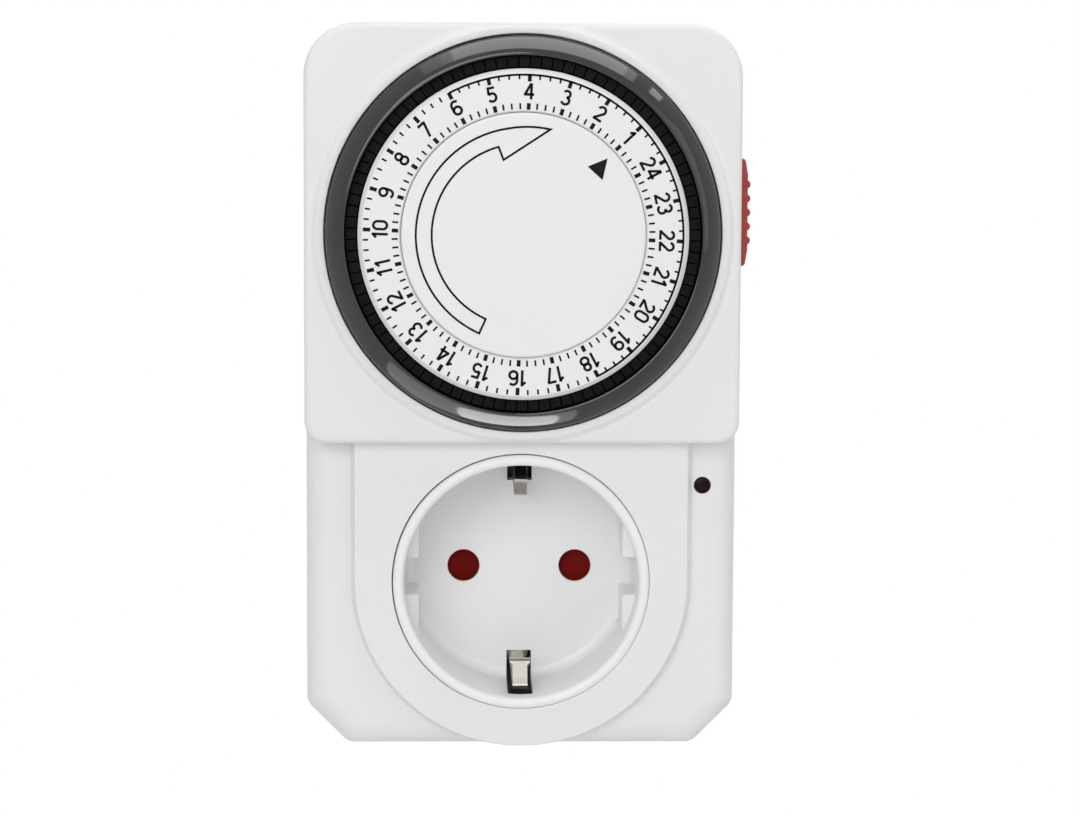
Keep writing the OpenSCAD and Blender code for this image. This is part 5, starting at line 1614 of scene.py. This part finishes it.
def build_floor(stage):
    """A large pale floor that shows as white where no shadow falls on it."""
    half, down = 6.0, -stage.floor
    mesh = bpy.data.meshes.new("floor")
    corners = [(-half, -half, down), (half, -half, down), (half, half, down), (-half, half, down)]
    mesh.from_pydata(corners, [], [(0, 1, 2, 3)])
    made = put_in_scene("floor", mesh)
    g = Graph("floor_paint")
    drift = g.noise(120.0, 2.0)
    tint = g.blend(g.spread(drift, 0, 1), (0.84, 0.84, 0.845), (0.86, 0.86, 0.86))
    g.link(tint, g.shader.inputs["Base Color"])
    g.set({"Roughness": 0.9, "Specular IOR Level": 0.1})
    out = g.add("ShaderNodeVectorMath", operation="LENGTH")
    g.link(g.place, out.inputs[0])
    near, far = stage.floor + 0.05, stage.floor + 0.45
    beyond = g.remap(out.outputs["Value"], (near, far), kind="SMOOTHSTEP")
    both = g.add("ShaderNodeMixShader")
    g.link(g.calculate("MULTIPLY", beyond, seen_directly(g)), both.inputs[0])
    g.link(g.shader.outputs[0], both.inputs[1])
    g.link(g.add("ShaderNodeEmission").outputs[0], both.inputs[2])
    output = next(n for n in g.tree.nodes if n.type == "OUTPUT_MATERIAL")
    g.link(both.outputs[0], output.inputs["Surface"])
    mesh.materials.append(g.material)


def seen_directly(g):
    """1 for rays from the camera, and for those that metal and glass send on."""
    path = g.add("ShaderNodeLightPath")
    value = path.outputs["Is Camera Ray"]
    for name in ("Is Glossy Ray", "Is Transmission Ray"):
        value = g.calculate("MAXIMUM", value, path.outputs[name])
    return value


class WorldGraph(Graph):
    """Builds the world's nodes."""

    def __init__(self, world):
        world.use_nodes = True
        self.tree = world.node_tree
        self.shader = next(n for n in self.tree.nodes if n.type == "BACKGROUND")


def build_world(stage):
    """Even pale light all round, behind a background that shows as plain white."""
    world = bpy.data.worlds.new("studio")
    bpy.context.scene.world = world
    g = WorldGraph(world)
    g.set({"Color": (1, 1, 1, 1)})
    strength = g.remap(seen_directly(g), (0, 1), (stage.ambient, 1.0))
    g.link(strength, g.shader.inputs["Strength"])


def build_camera(stage):
    """A camera a little left of the timer and level with its top, looking slightly down."""
    yaw, pitch, roll = (math.radians(a) for a in (1.553, 6.635, -0.28))
    data = bpy.data.cameras.new("front_camera")
    data.sensor_width = 36
    data.sensor_fit = "HORIZONTAL"
    data.lens = stage.lens
    data.clip_start, data.clip_end = 0.05, 50
    made = put_in_scene("front_camera", data)
    ahead = Vector((math.sin(yaw) * math.cos(pitch), math.cos(yaw) * math.cos(pitch), -math.sin(pitch)))
    tilt = Matrix.Rotation(-roll, 3, "Z").to_quaternion()
    made.rotation_mode = "QUATERNION"
    made.rotation_quaternion = ahead.to_track_quat("-Z", "Y") @ tilt
    made.location = (-0.0122, -0.6171, 0.0943)
    bpy.context.scene.camera = made


TIMER_MIDDLE = (0, -0.03, 0.035)
# The soft lights round the timer: name, power setting, place, size and what they are aimed at
STUDIO_LIGHTS = (
    ("key_light", "key", (-0.35, -1.2, 0.5), (0.8, 0.8), TIMER_MIDDLE),
    ("fill_light", "fill", (0.85, -0.75, 0.3), (0.8, 0.8), TIMER_MIDDLE),
    ("top_light", "top", (0.1, -0.12, 1.05), (1.18, 0.7), (0.1, -0.12, 0)),
    ("rear_light", "rear", (0.5, 1.1, 0.5), (0.9, 0.9), TIMER_MIDDLE),
)
# The soft strips that show only in the glossy dial ring: name, place, size and share of the power
RING_LIGHTS = (
    ("ring_light_top", (0.19, -0.12, 1.04), (1.18, 0.7), 1.0),
    ("ring_light_right", (1.05, -0.05, 1.05), (0.16, 0.55), 0.2),
    ("ring_light_left", (-0.52, -0.12, 1.05), (0.24, 0.7), 0.1),
    ("ring_light_low", (-0.02, -0.12, -0.26), (0.17, 0.36), 0.21),
    ("ring_light_wide", (-0.1, -0.16, -0.265), (0.4, 0.7), 0.25),
)


class TIMER_OT_stage(Operator):
    """Build the floor, the lights, the background and the camera"""
    bl_idname = "timer.stage"
    bl_label = "Stage"

    def execute(self, context):
        stage = context.scene.timer_stage
        build_floor(stage)
        build_world(stage)
        for name, setting, place, size, aim in STUDIO_LIGHTS:
            area_light(name, place, size, getattr(stage, setting), aim)
        shown = bpy.data.collections.new("ring_light_receivers")
        shown.objects.link(bpy.data.objects["dial_ring_body"])
        for name, place, size, share in RING_LIGHTS:
            made = area_light(name, place, size, stage.ring * share, (place[0], place[1], 0))
            made.light_linking.receiver_collection = shown
            if place[2] < 0:
                made.data.shape = "ELLIPSE"
        build_camera(stage)
        context.scene.view_settings.view_transform = "Standard"
        return {"FINISHED"}


OPERATORS = (
    TIMER_OT_front_cover,
    TIMER_OT_rear_cover,
    TIMER_OT_plug,
    TIMER_OT_socket,
    TIMER_OT_shutter,
    TIMER_OT_dial_ring,
    TIMER_OT_scale,
    TIMER_OT_centre_disc,
    TIMER_OT_tappets,
    TIMER_OT_slider,
    TIMER_OT_indicator,
    TIMER_OT_movement,
    TIMER_OT_switchgear,
    TIMER_OT_fasteners,
    TIMER_OT_stage,
)


class TIMER_PT_sidebar(Panel):
    """Lists the timer's build steps and settings"""
    bl_idname = "TIMER_PT_sidebar"
    bl_label = "Timer switch"
    bl_space_type = "VIEW_3D"
    bl_region_type = "UI"
    bl_category = "Timer"

    def draw(self, context):
        for made in OPERATORS:
            self.layout.operator(made.bl_idname)
        for name, group in GROUPS.items():
            box = self.layout.box()
            box.label(text=name.replace("_", " ").capitalize())
            for key in group.__annotations__:
                box.prop(getattr(context.scene, name), key)


CLASSES = (*GROUPS.values(), *OPERATORS, TIMER_PT_sidebar)


def register():
    """Registers the classes, and gives the scene their settings."""
    for made in CLASSES:
        bpy.utils.register_class(made)
    for name, group in GROUPS.items():
        setattr(bpy.types.Scene, name, PointerProperty(type=group))


def unregister():
    """Takes the settings and the classes away again."""
    for name in GROUPS:
        delattr(bpy.types.Scene, name)
    for made in reversed(CLASSES):
        bpy.utils.unregister_class(made)


def main():
    register()
    for made in OPERATORS:
        group, name = made.bl_idname.split(".")
        getattr(getattr(bpy.ops, group), name)()


if __name__ == "__main__":
    main()
